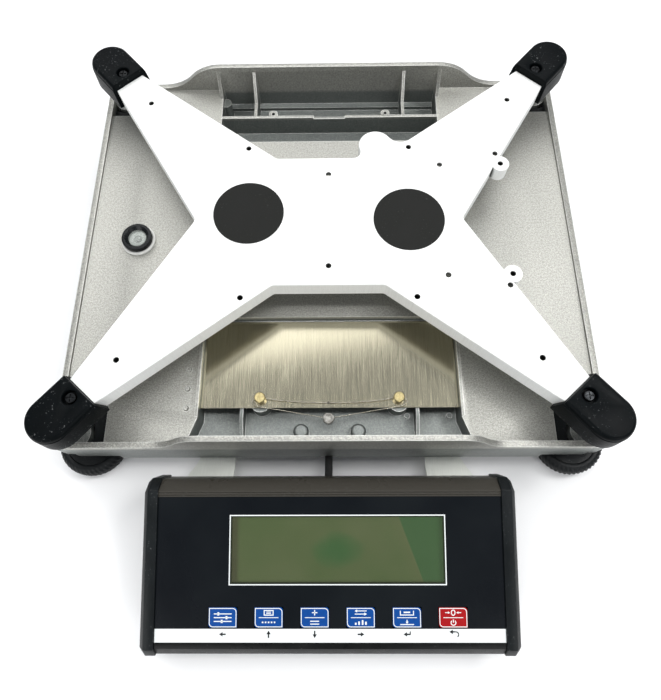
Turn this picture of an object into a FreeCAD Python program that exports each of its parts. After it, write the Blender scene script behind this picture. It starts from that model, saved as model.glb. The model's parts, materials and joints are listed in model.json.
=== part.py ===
import FreeCAD, Part
import math
import os
import re

import Sketcher

# An animal weighing scale with its pan lifted off.  A cast base stands on four screw feet.  A single
# load cell on its deck carries an X-shaped frame with a black cap on each tip.  An indicator hangs in
# front of the base on two bent arms, and one lead joins it to the load cell.
#
# Axes: +X to the user's right, +Y away from the user, +Z up, with the floor at Z = 0.  The pieces of
# the base and the platform are drawn about the platform's centre.  The pieces of the indicator are
# drawn on its face: local Y runs up the slope of the face and local Z stands out of it.

Vector = FreeCAD.Vector
Rotation = FreeCAD.Rotation
Placement = FreeCAD.Placement

SIZES = {
    # where the platform's centre stands, so that the origin is at the middle of the whole footprint
    "platform_y": 61.4,
    # levelling feet
    "foot_x": 190.0,
    "foot_y": 158.5,
    "pad_radius": 15.0,
    "pad_height": 4.0,
    "wheel_radius": 27.0,
    "wheel_height": 14.0,
    "stud_radius": 5.0,
    "stud_top": 46.0,
    "wheel_notches": 44.0,
    # cast base
    "base_length": 408.0,
    "base_width": 341.0,
    "base_bottom": 15.0,
    "base_wall": 4.0,
    "base_corner": 12.0,
    "base_draft": 1.5,
    "rim_top": 53.0,
    "wall_top": 75.7,
    "deck_top": 50.0,
    "deck_sheet": 3.5,
    "front_rise_low": 132.0,
    "front_rise_high": 91.0,
    "rear_rise_low": 154.0,
    "rear_rise_high": 98.0,
    "recess_half": 98.8,
    "flare_half": 106.0,
    "flare_start": 147.0,
    "recess_floor": 29.0,
    "recess_wall": 3.0,
    "rear_recess_edge": 106.0,
    "front_recess_edge": 66.5,
    "rib": 2.6,
    "lip": 2.2,
    "lip_proud": 0.8,
    "rear_rib_x": 68.0,
    "front_rib_x": 67.2,
    "cross_rib_y": 135.0,
    "pocket_x": 167.0,
    "pocket_y": 137.0,
    "boss_radius": 11.0,
    "stud_bore": 5.05,
    "rear_boss_x": 51.6,
    "rear_boss_y": 138.4,
    # plate over the front recess, with its seal
    "plate_half": 98.5,
    "plate_front": 139.0,
    "plate_rear": 68.0,
    "plate_top": 44.0,
    "plate_sheet": 1.5,
    "seal_x": 53.0,
    "seal_y": 132.0,
    "seal_head": 4.2,
    "wire": 0.35,
    # bubble level
    "level_x": 160.5,
    "level_y": 4.5,
    "level_radius": 14.2,
    "level_bezel": 12.5,
    "level_height": 7.0,
    # load cell and what holds it
    "cell_length": 150.0,
    "cell_width": 38.0,
    "cell_height": 22.0,
    "cell_hole_x": 62.0,
    "cell_hole_y": 9.5,
    "spacer": 5.5,
    "spacer_length": 34.0,
    "cell_bolt": 3.0,
    "cell_clear": 3.3,
    "stop_x": 150.0,
    "stop_y": 96.0,
    "stop_screw": 2.5,
    "travel": 1.0,
    # X-shaped frame and its caps
    "frame_top": 88.0,
    "frame_skirt": 15.0,
    "frame_wall": 4.0,
    "valley_x": 103.5,
    "flat_x": 42.0,
    "flat_y": 57.0,
    "tip_hole_x": 150.0,
    "tip_hole_y": 114.75,
    "tip_hole": 2.2,
    "casting_hole_x": 65.0,
    "casting_hole_y": 67.0,
    "disc_x": 62.2,
    "disc_radius": 27.4,
    "disc_sheet": 0.8,
    "cap_x": 188.9,
    "cap_y": 158.0,
    "cap_angle": 48.5,
    "cap_radius": 16.4,
    "cap_straight": 27.0,
    "cap_wall": 2.8,
    "cap_plate": 6.0,
    "cap_skirt": 15.0,
    "cap_screw_x": 176.2,
    "cap_screw_y": 143.4,
    # indicator
    "face_y": 199.0,
    "face_z": 65.5,
    "face_slope": 13.0,
    "case_half": 118.0,
    "case_back": 3.0,
    "case_front": 112.0,
    "case_depth": 36.0,
    "case_wall": 2.5,
    "end_cap": 10.0,
    "end_proud": 1.2,
    "panel_back": 8.0,
    "panel_front": 103.2,
    "panel_sheet": 0.8,
    "panel_sink": 1.2,
    "screen_x": 5.5,
    "screen_length": 146.0,
    "screen_width": 44.8,
    "screen_back": 20.8,
    "key_length": 19.8,
    "key_width": 13.6,
    "key_pitch": 30.94,
    "key_row": 87.1,
    "key_gap": 0.35,
    "key_travel": 0.5,
    "board_top": -7.0,
    # arms that carry the indicator
    "arm_sheet": 2.0,
    "arm_inner": 75.0,
    "arm_outer": 111.0,
    "arm_narrow": 103.0,
    "arm_front": 178.0,
    "arm_rear": 112.0,
    "arm_screw_x": 89.0,
    "case_screw_x": 93.0,
    "arm_screw": 1.95,
    # lead
    "lead_radius": 3.0,
    "lead_x": -1.0,
    "lead_hole_y": -32.0,
    "grommet_radius": 7.0,
    "gland_length": 8.0,
}

KEYS = 6
ARM_SCREWS_UNDER_BASE = ("-122", "-150")
ARM_SCREWS_UNDER_CASE = ("-24", "-50")
END_CAP_SCREWS = ((-8, -14), (-104, -14), (-104, -28), (-16, -29))
DOC = FreeCAD.newDocument("AnimalScale")
NAME = re.compile(r"[a-z_]+")
CORNERS = {
    "rear_right": (1, 1),
    "rear_left": (-1, 1),
    "front_left": (-1, -1),
    "front_right": (1, -1),
}
SUBPARTS = []


# ---------------------------------------------------------------------------------------------------
# The sheet of sizes, and what ties a shape to it
# ---------------------------------------------------------------------------------------------------

def make_sheet():
    """Write every driving size to a sheet, each under its own name."""
    sheet = DOC.addObject("Spreadsheet::Sheet", "Sizes")
    for row, (name, size) in enumerate(SIZES.items(), 1):
        sheet.set("A%d" % row, name)
        sheet.set("B%d" % row, repr(size))
        sheet.setAlias("B%d" % row, name)
    DOC.recompute()
    return sheet


SHEET = make_sheet()


def rule(text):
    """Turn a rule that uses the sheet's names into an expression."""
    def full_name(word):
        name = word.group(0)
        return "Sizes." + name if name in SIZES else name

    return NAME.sub(full_name, str(text))


def number(text):
    """The present value of a rule."""
    found = SHEET.evalExpression(rule(text))
    return float(getattr(found, "Value", found))


def bind(item, prop, text):
    """Tie one property of an object to a rule."""
    item.setExpression(prop, rule(text))


def move(item, corner, rotation=None):
    """Place an object at a point given by three rules."""
    if rotation is not None:
        item.Placement = Placement(Vector(0, 0, 0), rotation)
    for letter, text in zip("xyz", corner):
        bind(item, "Placement.Base." + letter, text)
    return item


# ---------------------------------------------------------------------------------------------------
# Solids
# ---------------------------------------------------------------------------------------------------

ALONG_X = Rotation(Vector(0, 1, 0), 90)
ALONG_MINUS_Y = Rotation(Vector(1, 0, 0), 90)
PLANES = {
    "XY": (Rotation(), Vector(0, 0, 1)),
    "XZ": (Rotation(Vector(1, 0, 0), 90), Vector(0, 1, 0)),
    "YZ": (Rotation(Vector(1, 1, 1), 120), Vector(1, 0, 0)),
}


def box(size, corner):
    """A block from its three sizes and its lowest corner."""
    item = DOC.addObject("Part::Box", "Block")
    for prop, text in zip(("Length", "Width", "Height"), size):
        bind(item, prop, text)
    return move(item, corner)


def centred_box(size, middle):
    """A block from its sizes, its middle in X and Y, and its lowest Z."""
    corner = ["(%s) - (%s) / 2" % (middle[0], size[0]), "(%s) - (%s) / 2" % (middle[1], size[1]), middle[2]]
    return box(size, corner)


def rod(radius, height, foot, rotation=None):
    """A cylinder from its radius, its height and the middle of its lower end."""
    item = DOC.addObject("Part::Cylinder", "Rod")
    bind(item, "Radius", radius)
    bind(item, "Height", height)
    return move(item, foot, rotation)


def cone(lower, upper, height, foot, rotation=None):
    """A cone from its two radii, its height and the middle of its lower end."""
    item = DOC.addObject("Part::Cone", "Cone")
    bind(item, "Radius1", lower)
    bind(item, "Radius2", upper)
    bind(item, "Height", height)
    return move(item, foot, rotation)


def hexagon(across_flats, height, foot, rotation=None):
    """A six-sided prism, as a nut or a bolt's head."""
    item = DOC.addObject("Part::Prism", "Hexagon")
    item.Polygon = 6
    bind(item, "Circumradius", "(%s) / 2 / cos(30 deg)" % across_flats)
    bind(item, "Height", height)
    return move(item, foot, rotation)


def draw(sketch, points):
    """Draw a closed outline whose every corner is tied to its own two rules.

    A corner may carry a third rule, the radius of an arc that runs from it to the next corner:
    positive when the arc turns left, negative when it turns right.
    """
    spots = [Vector(number(corner[0]), number(corner[1]), 0) for corner in points]
    first = sketch.GeometryCount
    for corner, start, end in zip(points, spots, spots[1:] + spots[:1]):
        if len(corner) == 2:
            sketch.addGeometry(Part.LineSegment(start, end), False)
        else:
            sketch.addGeometry(Part.Arc(start, arc_middle(start, end, number(corner[2])), end), False)
    for place, corner in enumerate(points):
        line = first + place
        before = first + (place - 1) % len(points)
        head = 1 if len(corner) == 2 or number(corner[2]) > 0 else 2
        last = points[place - 1]
        tail = 2 if len(last) == 2 or number(last[2]) > 0 else 1
        sketch.addConstraint(Sketcher.Constraint("Coincident", before, tail, line, head))
        for kind, text in (("DistanceX", corner[0]), ("DistanceY", corner[1])):
            datum = sketch.addConstraint(Sketcher.Constraint(kind, -1, 1, line, head, number(text)))
            bind(sketch, "Constraints[%d]" % datum, text)
        if len(corner) == 3:
            datum = sketch.addConstraint(Sketcher.Constraint("Radius", line, abs(number(corner[2]))))
            bind(sketch, "Constraints[%d]" % datum, "abs(%s)" % corner[2])


def arc_middle(start, end, radius):
    """The point half way along the smaller arc between two points, to the left if radius is positive."""
    chord = end - start
    half = chord.Length / 2
    sagitta = abs(radius) - math.sqrt(max(radius * radius - half * half, 0))
    outward = Vector(chord.y, -chord.x, 0).normalize()
    if radius < 0:
        outward = -outward
    return (start + end) / 2 + outward * sagitta


def prism(points, plane, start, length):
    """A prism from an outline on a plane, its start along the plane's normal and its length."""
    sketch = DOC.addObject("Sketcher::SketchObject", "Outline")
    rotation, normal = PLANES[plane]
    sketch.Placement = Placement(Vector(0, 0, 0), rotation)
    bind(sketch, "Placement.Base." + "xyz"[[normal.x, normal.y, normal.z].index(1)], start)
    draw(sketch, points)
    item = DOC.addObject("Part::Extrusion", "Prism")
    item.Base = sketch
    item.DirMode = "Custom"
    item.Dir = normal
    item.Solid = True
    bind(item, "LengthFwd", length)
    return item


def fuse(*items):
    """One solid from several."""
    item = DOC.addObject("Part::MultiFuse", "Union")
    item.Shapes = list(items)
    return item


def group(*items):
    """Separate solids that share a node."""
    item = DOC.addObject("Part::Compound", "Set")
    item.Links = list(items)
    return item


def cut(stock, *tools):
    """A solid less its tools."""
    item = DOC.addObject("Part::Cut", "Cut")
    item.Base = stock
    item.Tool = tools[0] if len(tools) == 1 else fuse(*tools)
    return item


def rounded(stock, radius, wanted):
    """A solid with a fillet on each edge that the test wants."""
    DOC.recompute()
    size = number(radius)
    item = DOC.addObject("Part::Fillet", "Rounded")
    item.Base = stock
    item.Edges = [(place, size, size) for place, edge in enumerate(stock.Shape.Edges, 1) if wanted(edge)]
    return item


def bevelled(stock, depth, wanted):
    """A solid with a chamfer on each edge that the test wants."""
    DOC.recompute()
    size = number(depth)
    item = DOC.addObject("Part::Chamfer", "Bevelled")
    item.Base = stock
    item.Edges = [(place, size, size) for place, edge in enumerate(stock.Shape.Edges, 1) if wanted(edge)]
    return item


def runs_along(edge, axis):
    """True for a straight edge along one axis: 0, 1 or 2."""
    if not isinstance(edge.Curve, Part.Line):
        return False
    return abs(edge.Curve.Direction[axis]) > 0.999


def upright(edge):
    """True for an edge that runs nearly straight up."""
    return isinstance(edge.Curve, Part.Line) and abs(edge.Curve.Direction.z) > 0.99


def level_at(edge, height):
    """True for an edge that lies wholly at one height."""
    return abs(edge.BoundBox.ZMin - height) < 0.01 and abs(edge.BoundBox.ZMax - height) < 0.01


def on_platform(item, label):
    """Name a sub-part of the base or the platform and put it at its place."""
    item.Label = label
    bind(item, "Placement.Base.y", "platform_y")
    SUBPARTS.append(item)
    return item


def on_indicator(item, label):
    """Name a sub-part of the indicator and lean it to the slope of the face."""
    item.Label = label
    item.Placement = Placement(Vector(0, 0, 0), Rotation(Vector(1, 0, 0), number("face_slope")))
    bind(item, "Placement.Base.y", "platform_y - face_y")
    bind(item, "Placement.Base.z", "face_z")
    SUBPARTS.append(item)
    return item


# ---------------------------------------------------------------------------------------------------
# PartDesign helpers
# ---------------------------------------------------------------------------------------------------

def new_body(name):
    return DOC.addObject("PartDesign::Body", name)


def body_sketch(body, role, offset=0):
    """A sketch on one of a body's own origin planes, moved along the plane's normal."""
    sketch = body.newObject("Sketcher::SketchObject", "Sketch")
    plane = [item for item in body.Origin.OriginFeatures if item.Role == role][0]
    sketch.AttachmentSupport = (plane, [""])
    sketch.MapMode = "FlatFace"
    bind(sketch, "AttachmentOffset.Base.z", offset)
    return sketch


def body_circle(sketch, across, up, radius):
    """A circle whose centre and radius are tied to rules."""
    place = sketch.addGeometry(
        Part.Circle(Vector(number(across), number(up), 0), Vector(0, 0, 1), number(radius)), False)
    for kind, text in (("DistanceX", across), ("DistanceY", up)):
        datum = sketch.addConstraint(Sketcher.Constraint(kind, -1, 1, place, 3, number(text)))
        bind(sketch, "Constraints[%d]" % datum, text)
    datum = sketch.addConstraint(Sketcher.Constraint("Radius", place, number(radius)))
    bind(sketch, "Constraints[%d]" % datum, radius)


def body_pad(body, sketch, length, reverse=False):
    pad = body.newObject("PartDesign::Pad", "Pad")
    pad.Profile = sketch
    bind(pad, "Length", length)
    pad.Reversed = reverse
    return pad


def body_pocket(body, sketch, length, reverse=False):
    pocket = body.newObject("PartDesign::Pocket", "Pocket")
    pocket.Profile = sketch
    bind(pocket, "Length", length)
    pocket.Reversed = reverse
    return pocket


def body_fillet(body, radius, wanted):
    """Round each edge of the body that the test wants."""
    DOC.recompute()
    base = body.Tip
    names = ["Edge%d" % place for place, edge in enumerate(base.Shape.Edges, 1) if wanted(edge)]
    fillet = body.newObject("PartDesign::Fillet", "Fillet")
    fillet.Base = (base, names)
    bind(fillet, "Radius", radius)
    return fillet


# ---------------------------------------------------------------------------------------------------
# Cast base
# ---------------------------------------------------------------------------------------------------

def drafted_block(length, width, bottom, top, spread):
    """A four-sided block with rounded uprights that widens towards its foot."""
    wedge = DOC.addObject("Part::Wedge", "Drafted")
    for prop, text in {
        "Xmin": "-(%s) / 2 - %s" % (length, spread),
        "Xmax": "(%s) / 2 + %s" % (length, spread),
        "X2min": "-(%s) / 2" % length,
        "X2max": "(%s) / 2" % length,
        "Zmin": "-(%s) / 2 - %s" % (width, spread),
        "Zmax": "(%s) / 2 + %s" % (width, spread),
        "Z2min": "-(%s) / 2" % width,
        "Z2max": "(%s) / 2" % width,
        "Ymin": bottom,
        "Ymax": top,
    }.items():
        bind(wedge, prop, text)
    wedge.Placement = Placement(Vector(0, 0, 0), Rotation(Vector(1, 0, 0), 90))
    return wedge


def rise_cutter(hand, side, low, high):
    """What is cut away over one end of a long wall, so that the wall rises in an S towards its middle."""
    radius = "((%s - %s)^2 + (wall_top - rim_top)^2) / 4 / (wall_top - rim_top)" % (low, high)
    turn = ("-", "") if hand > 0 else ("", "-")
    sign = "" if hand > 0 else "-"
    outline = [
        (sign + low, "rim_top", "%s(%s)" % (turn[0], radius)),
        ("%s(%s + %s) / 2" % (sign, low, high), "(rim_top + wall_top) / 2", "%s(%s)" % (turn[1], radius)),
        (sign + high, "wall_top"),
        (sign + high, "wall_top + 8"),
        ("%s(base_length / 2 + 8)" % sign, "wall_top + 8"),
        ("%s(base_length / 2 + 8)" % sign, "rim_top"),
    ]
    start = "0" if side > 0 else "-(base_width / 2 + 10)"
    return prism(outline, "XZ", start, "base_width / 2 + 10")


def raised_rim_stock():
    """The drafted block of the base with its two long walls raised in the middle."""
    stock = drafted_block("base_length", "base_width", "base_bottom", "wall_top", "base_draft")
    stock = rounded(stock, "base_corner", upright)
    tools = []
    for side, end in ((1, "rear"), (-1, "front")):
        for hand in (1, -1):
            tools.append(rise_cutter(hand, side, end + "_rise_low", end + "_rise_high"))
    return cut(stock, *tools)


def deck_hollow():
    """The space between the four walls, above the deck."""
    length = "base_length - 2 * base_wall"
    width = "base_width - 2 * base_wall"
    block = centred_box([length, width, "wall_top"], ["0", "0", "deck_top"])
    return rounded(block, "base_corner - base_wall", upright)


def recess(side, edge):
    """One of the two open troughs in the deck, in front (-1) or behind (+1); the front one flares out."""
    far = "base_width / 2 - base_wall"
    sign = "" if side > 0 else "-"
    mouth = "flare_half" if side < 0 else "recess_half"
    outline = [("recess_half", sign + edge), ("recess_half", sign + "flare_start"), (mouth, "%s(%s)" % (sign, far))]
    outline += [("-" + x, y) for x, y in reversed(outline)]
    return prism(outline, "XY", "recess_floor", "wall_top")


def underside():
    """The open underside: all below the deck except the walls and the floors of the two troughs."""
    length = "base_length - 2 * base_wall"
    width = "base_width - 2 * base_wall"
    height = "deck_top - deck_sheet - base_bottom + 5"
    void = centred_box([length, width, height], ["0", "0", "base_bottom - 5"])
    void = rounded(void, "base_corner - base_wall", upright)
    keep = []
    for side, edge in ((1, "rear_recess_edge"), (-1, "front_recess_edge")):
        far = "base_width / 2"
        start = "%s - recess_wall" % edge if side > 0 else "-(%s)" % far
        size = ["2 * (recess_half + recess_wall)", "%s - (%s) + recess_wall" % (far, edge), "60"]
        keep.append(box(size, ["-(recess_half + recess_wall)", start, "recess_floor - recess_wall"]))
    size = ["2 * (flare_half + recess_wall)", "base_width / 2 - flare_start", "60"]
    keep.append(box(size, ["-(flare_half + recess_wall)", "-base_width / 2", "recess_floor - recess_wall"]))
    return cut(void, *keep)


def rear_ribs():
    """The rear trough's cross rib, the ledge and the step along its edges, its gussets and its bosses."""
    wall = "base_width / 2 - base_wall + 0.5"
    floor = "recess_floor - 0.5"
    across = "2 * recess_half + 1"
    left = "-(recess_half + 0.5)"
    cross = box(
        [across, "rib", "deck_top - 1 - (%s)" % floor],
        [left, "cross_rib_y - rib / 2", floor],
    )
    cross = cut(cross, box(["29", "rib + 2", "10"], ["-14.5", "cross_rib_y - rib / 2 - 1", "deck_top - 2.6"]))
    ledge = box([across, "4", "deck_top - 5 - (%s)" % floor], [left, "rear_recess_edge - 0.5", floor])
    step = box([across, "6", "4"], [left, "base_width / 2 - base_wall - 5.5", floor])
    outline = [
        ("cross_rib_y - rib / 4", floor),
        (wall, floor),
        (wall, "wall_top - 5"),
        ("cross_rib_y + 16", "deck_top - 1"),
        ("cross_rib_y - rib / 4", "deck_top - 1"),
    ]
    gussets = [prism(outline, "YZ", "%srear_rib_x - rib / 2" % hand, "rib") for hand in ("", "-")]
    cheek = [
        ("base_width / 2 - base_wall - 11", "deck_top - 1"),
        (wall, "deck_top - 1"),
        (wall, "wall_top - 3"),
    ]
    cheeks = [
        prism(cheek, "YZ", "recess_half", "recess_wall"),
        prism(cheek, "YZ", "-(recess_half + recess_wall)", "recess_wall"),
    ]
    bosses = []
    for hand in ("", "-"):
        bosses.append(rod("4", "deck_top - 1 - (%s)" % floor, [hand + "rear_boss_x", "rear_boss_y", floor]))
    side_boss = rod("5", "deck_top - 6 - (%s)" % floor, ["-97.5", "base_width / 2 - base_wall - 10", floor])
    return [cross, ledge, step, side_boss] + gussets + cheeks + bosses


def front_ribs():
    """The two gussets in the mouth of the front trough, its bosses and the ledge under the plate."""
    wall = "-(base_width / 2 - base_wall + 0.5)"
    floor = "recess_floor - 0.5"
    ledge = "plate_top - plate_sheet"
    outline = [
        ("-(plate_front - 14)", floor),
        ("-(plate_front - 14)", ledge),
        ("-(plate_front + 8)", ledge),
        (wall, "recess_floor + 5"),
        (wall, floor),
    ]
    gussets = [prism(outline, "YZ", "%sfront_rib_x - rib / 2" % hand, "rib") for hand in ("", "-")]
    columns = []
    domes = []
    for hand in ("", "-"):
        columns.append(rod("7.5", "%s - (%s)" % (ledge, floor), [hand + "seal_x", "-seal_y - 2.5", floor]))
        dome = rod("6", "9", [hand + "22", "-155.5", floor])
        domes.append(rounded(dome, "3", lambda edge: level_at(edge, number("recess_floor + 8.5"))))
    shelf = box(
        ["2 * recess_half + 1", "7", "5"],
        ["-(recess_half + 0.5)", "-(front_recess_edge + 7)", "%s - 5" % ledge],
    )
    lips = []
    for start in ("recess_half", "-(recess_half + lip)"):
        size = ["lip", "flare_start - front_recess_edge", "lip_proud + 2"]
        lips.append(box(size, [start, "-flare_start", "deck_top - 2"]))
    pins = [rod("2.2", "2.5", [x, "-142.5", floor]) for x in ("60.5", "93.5")]
    return gussets + columns + domes + lips + pins + [shelf]


def corner_pocket(side_x, side_y):
    """The square opening over one foot."""
    far_x = "base_length / 2 - base_wall"
    far_y = "base_width / 2 - base_wall"
    start_x = "pocket_x" if side_x > 0 else "-(%s)" % far_x
    start_y = "pocket_y" if side_y > 0 else "-(%s)" % far_y
    size = ["%s - pocket_x" % far_x, "%s - pocket_y" % far_y, "20"]
    return box(size, [start_x, start_y, "deck_top - 10"])


def signed(side, name):
    """A name with the sign of its side."""
    return name if side > 0 else "-" + name


def foot_middle(side_x, side_y, height):
    """The three rules of a point over one foot."""
    return [signed(side_x, "foot_x"), signed(side_y, "foot_y"), height]


def base_casting():
    stock = cut(raised_rim_stock(), deck_hollow(), underside())
    troughs = [recess(1, "rear_recess_edge"), recess(-1, "front_recess_edge")]
    pockets = [corner_pocket(*sides) for sides in CORNERS.values()]
    stock = cut(stock, *(troughs + pockets))
    added = rear_ribs() + front_ribs()
    boss_top = "deck_top - deck_sheet"
    boss_foot = "base_bottom + 8"
    for sides in CORNERS.values():
        added.append(rod("boss_radius", "%s - (%s)" % (boss_top, boss_foot), foot_middle(*sides, boss_foot)))
        middle = [signed(sides[0], "(foot_x + 6)"), signed(sides[1], "(foot_y + 4)"), "base_bottom + 10"]
        added.append(centred_box(["16", "16", "%s - base_bottom - 12" % boss_top], middle))
    thick = ["spacer_length + 6", "cell_width + 4", "4"]
    added.append(centred_box(thick, ["-cell_hole_x", "0", "deck_top - deck_sheet - 4"]))
    for spot in stop_spots():
        added.append(rod("6", "10", spot + ["deck_top - deck_sheet - 9"]))
    for hand in ("", "-"):
        for y in ARM_SCREWS_UNDER_BASE:
            added.append(rod("7", "recess_floor - 2 - base_bottom", [hand + "arm_screw_x", y, "base_bottom"]))
    for y in ("-110.3", "-125.6", "-140.6"):
        added.append(cone("2.4", "1.4", "1.8", ["-108", y, "deck_top - 0.2"]))
    stock = fuse(stock, *added)
    return on_platform(cut(stock, *base_holes()), "base_casting")


def base_holes():
    """The arches over the wheels, the bores of the studs and all the screw holes of the base."""
    holes = []
    arch_height = "wheel_height + pad_height + 7 - base_bottom"
    for sides in CORNERS.values():
        holes.append(rod("stud_bore", "60", foot_middle(*sides, "0")))
        holes.append(rod("wheel_radius + 2.5", arch_height, foot_middle(*sides, "base_bottom - 1")))
    for spot in stop_spots():
        holes.append(rod("stop_screw", "30", spot + ["deck_top - 20"]))
    for hand in ("", "-"):
        holes.append(rod("cell_clear", "30", ["-cell_hole_x", hand + "cell_hole_y", "deck_top - 20"]))
        holes.append(rod("1.7", "11", [hand + "seal_x", "-seal_y", "plate_top - plate_sheet - 10"]))
        holes.append(rod("1.6", "12", [hand + "rear_boss_x", "rear_boss_y", "deck_top - 10"]))
        for y in ARM_SCREWS_UNDER_BASE:
            holes.append(rod("arm_screw + 0.05", "9", [hand + "arm_screw_x", y, "base_bottom - 1"]))
    holes.append(rod("grommet_radius", "30", ["lead_x", "lead_hole_y", "deck_top - 20"]))
    inner_wall = "-(base_width / 2 - base_wall - 2)"
    holes.append(rod("7", "20", ["lead_x", inner_wall, "base_bottom - 1"], ALONG_MINUS_Y))
    return holes


# ---------------------------------------------------------------------------------------------------
# Feet
# ---------------------------------------------------------------------------------------------------

def foot_pad(name, sides):
    """The rubber pad that a foot stands on; it does not turn."""
    pad = rod("pad_radius", "pad_height - 0.3", foot_middle(*sides, "0"))
    pad = rounded(pad, "1", lambda edge: level_at(edge, 0))
    socket = rod("4.05", "3", foot_middle(*sides, "2"))
    return on_platform(cut(pad, socket), "foot_pad_" + name)


def foot_wheel(name, sides):
    """The knurled wheel that turns a foot."""
    body = new_body("Wheel")
    disc = body_sketch(body, "XY_Plane", "pad_height")
    body_circle(disc, "0", "0", "wheel_radius")
    body_circle(disc, "0", "0", "stud_radius")
    body_pad(body, disc, "wheel_height")
    body_fillet(body, "1.5", lambda edge: edge.Length > 100)
    notch = body_sketch(body, "XY_Plane", "pad_height + wheel_height")
    body_circle(notch, "wheel_radius + 0.3", "0", "1.3")
    pocket = body_pocket(body, notch, "wheel_height")
    pattern = body.newObject("PartDesign::PolarPattern", "Knurl")
    pattern.Originals = [pocket]
    pattern.Axis = ([item for item in body.Origin.OriginFeatures if item.Role == "Z_Axis"][0], [""])
    bind(pattern, "Occurrences", "wheel_notches")
    body.Tip = pattern
    move(body, [signed(sides[0], "foot_x"), signed(sides[1], "foot_y") + " + platform_y", "0"])
    body.Label = "foot_wheel_" + name
    SUBPARTS.append(body)


def foot_stud(name, sides):
    """The threaded stud between a wheel and the base, with its tip in the pad."""
    shank = rod("stud_radius", "stud_top - pad_height", foot_middle(*sides, "pad_height"))
    shank = bevelled(shank, "0.8", lambda edge: level_at(edge, number("stud_top")))
    tip = rod("4", "pad_height - 2.05", foot_middle(*sides, "2.05"))
    return on_platform(fuse(shank, tip), "foot_stud_" + name)


def foot_sockets():
    """The black moulded plates that close the deck's corner openings round the foot bosses."""
    plates = []
    for side_x, side_y in CORNERS.values():
        far_x = "base_length / 2 - base_wall - 0.3"
        far_y = "base_width / 2 - base_wall - 0.3"
        start_x = "pocket_x + 0.3" if side_x > 0 else "-(%s)" % far_x
        start_y = "pocket_y + 0.3" if side_y > 0 else "-(%s)" % far_y
        size = ["%s - pocket_x - 0.3" % far_x, "%s - pocket_y - 0.3" % far_y, "2.5"]
        plate = rounded(box(size, [start_x, start_y, "deck_top - 7"]), "4", upright)
        plates.append(cut(plate, rod("boss_radius + 3", "6", foot_middle(side_x, side_y, "deck_top - 9"))))
    return on_platform(group(*plates), "foot_sockets")


# ---------------------------------------------------------------------------------------------------
# X-shaped frame, its caps and its discs
# ---------------------------------------------------------------------------------------------------

def frame_outline():
    """Half of the X's outline, from the right valley to the left one, behind; then the other half."""
    tip = [("181.4", "129.5"), ("188.9", "141.8"), ("173.2", "155.7"), ("162.2", "147")]
    lobe = [
        ("flat_x + 24.26", "flat_y + 18.16", "-12"),
        ("flat_x + 7.33", "flat_y + 20.75", "13.6"),
        ("flat_x - 16.5", "flat_y + 8.2", "-6.13"),
        ("flat_x - 22.27", "flat_y"),
    ]
    rear_right = [("valley_x", "0")] + tip + lobe
    rear_left = [("-flat_x", "flat_y")] + [("-" + x, y) for x, y in reversed(tip)]
    front_left = [("-valley_x", "0")] + [("-" + x, "-" + y) for x, y in tip] + [("-flat_x", "-flat_y")]
    front_right = [("flat_x", "-flat_y")] + [(x, "-" + y) for x, y in reversed(tip)]
    return rear_right + rear_left + front_left + front_right


def body_prism(body, points, start, length, reverse=False):
    sketch = body_sketch(body, "XY_Plane", start)
    draw(sketch, points)
    return body_pad(body, sketch, length, reverse)


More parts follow.
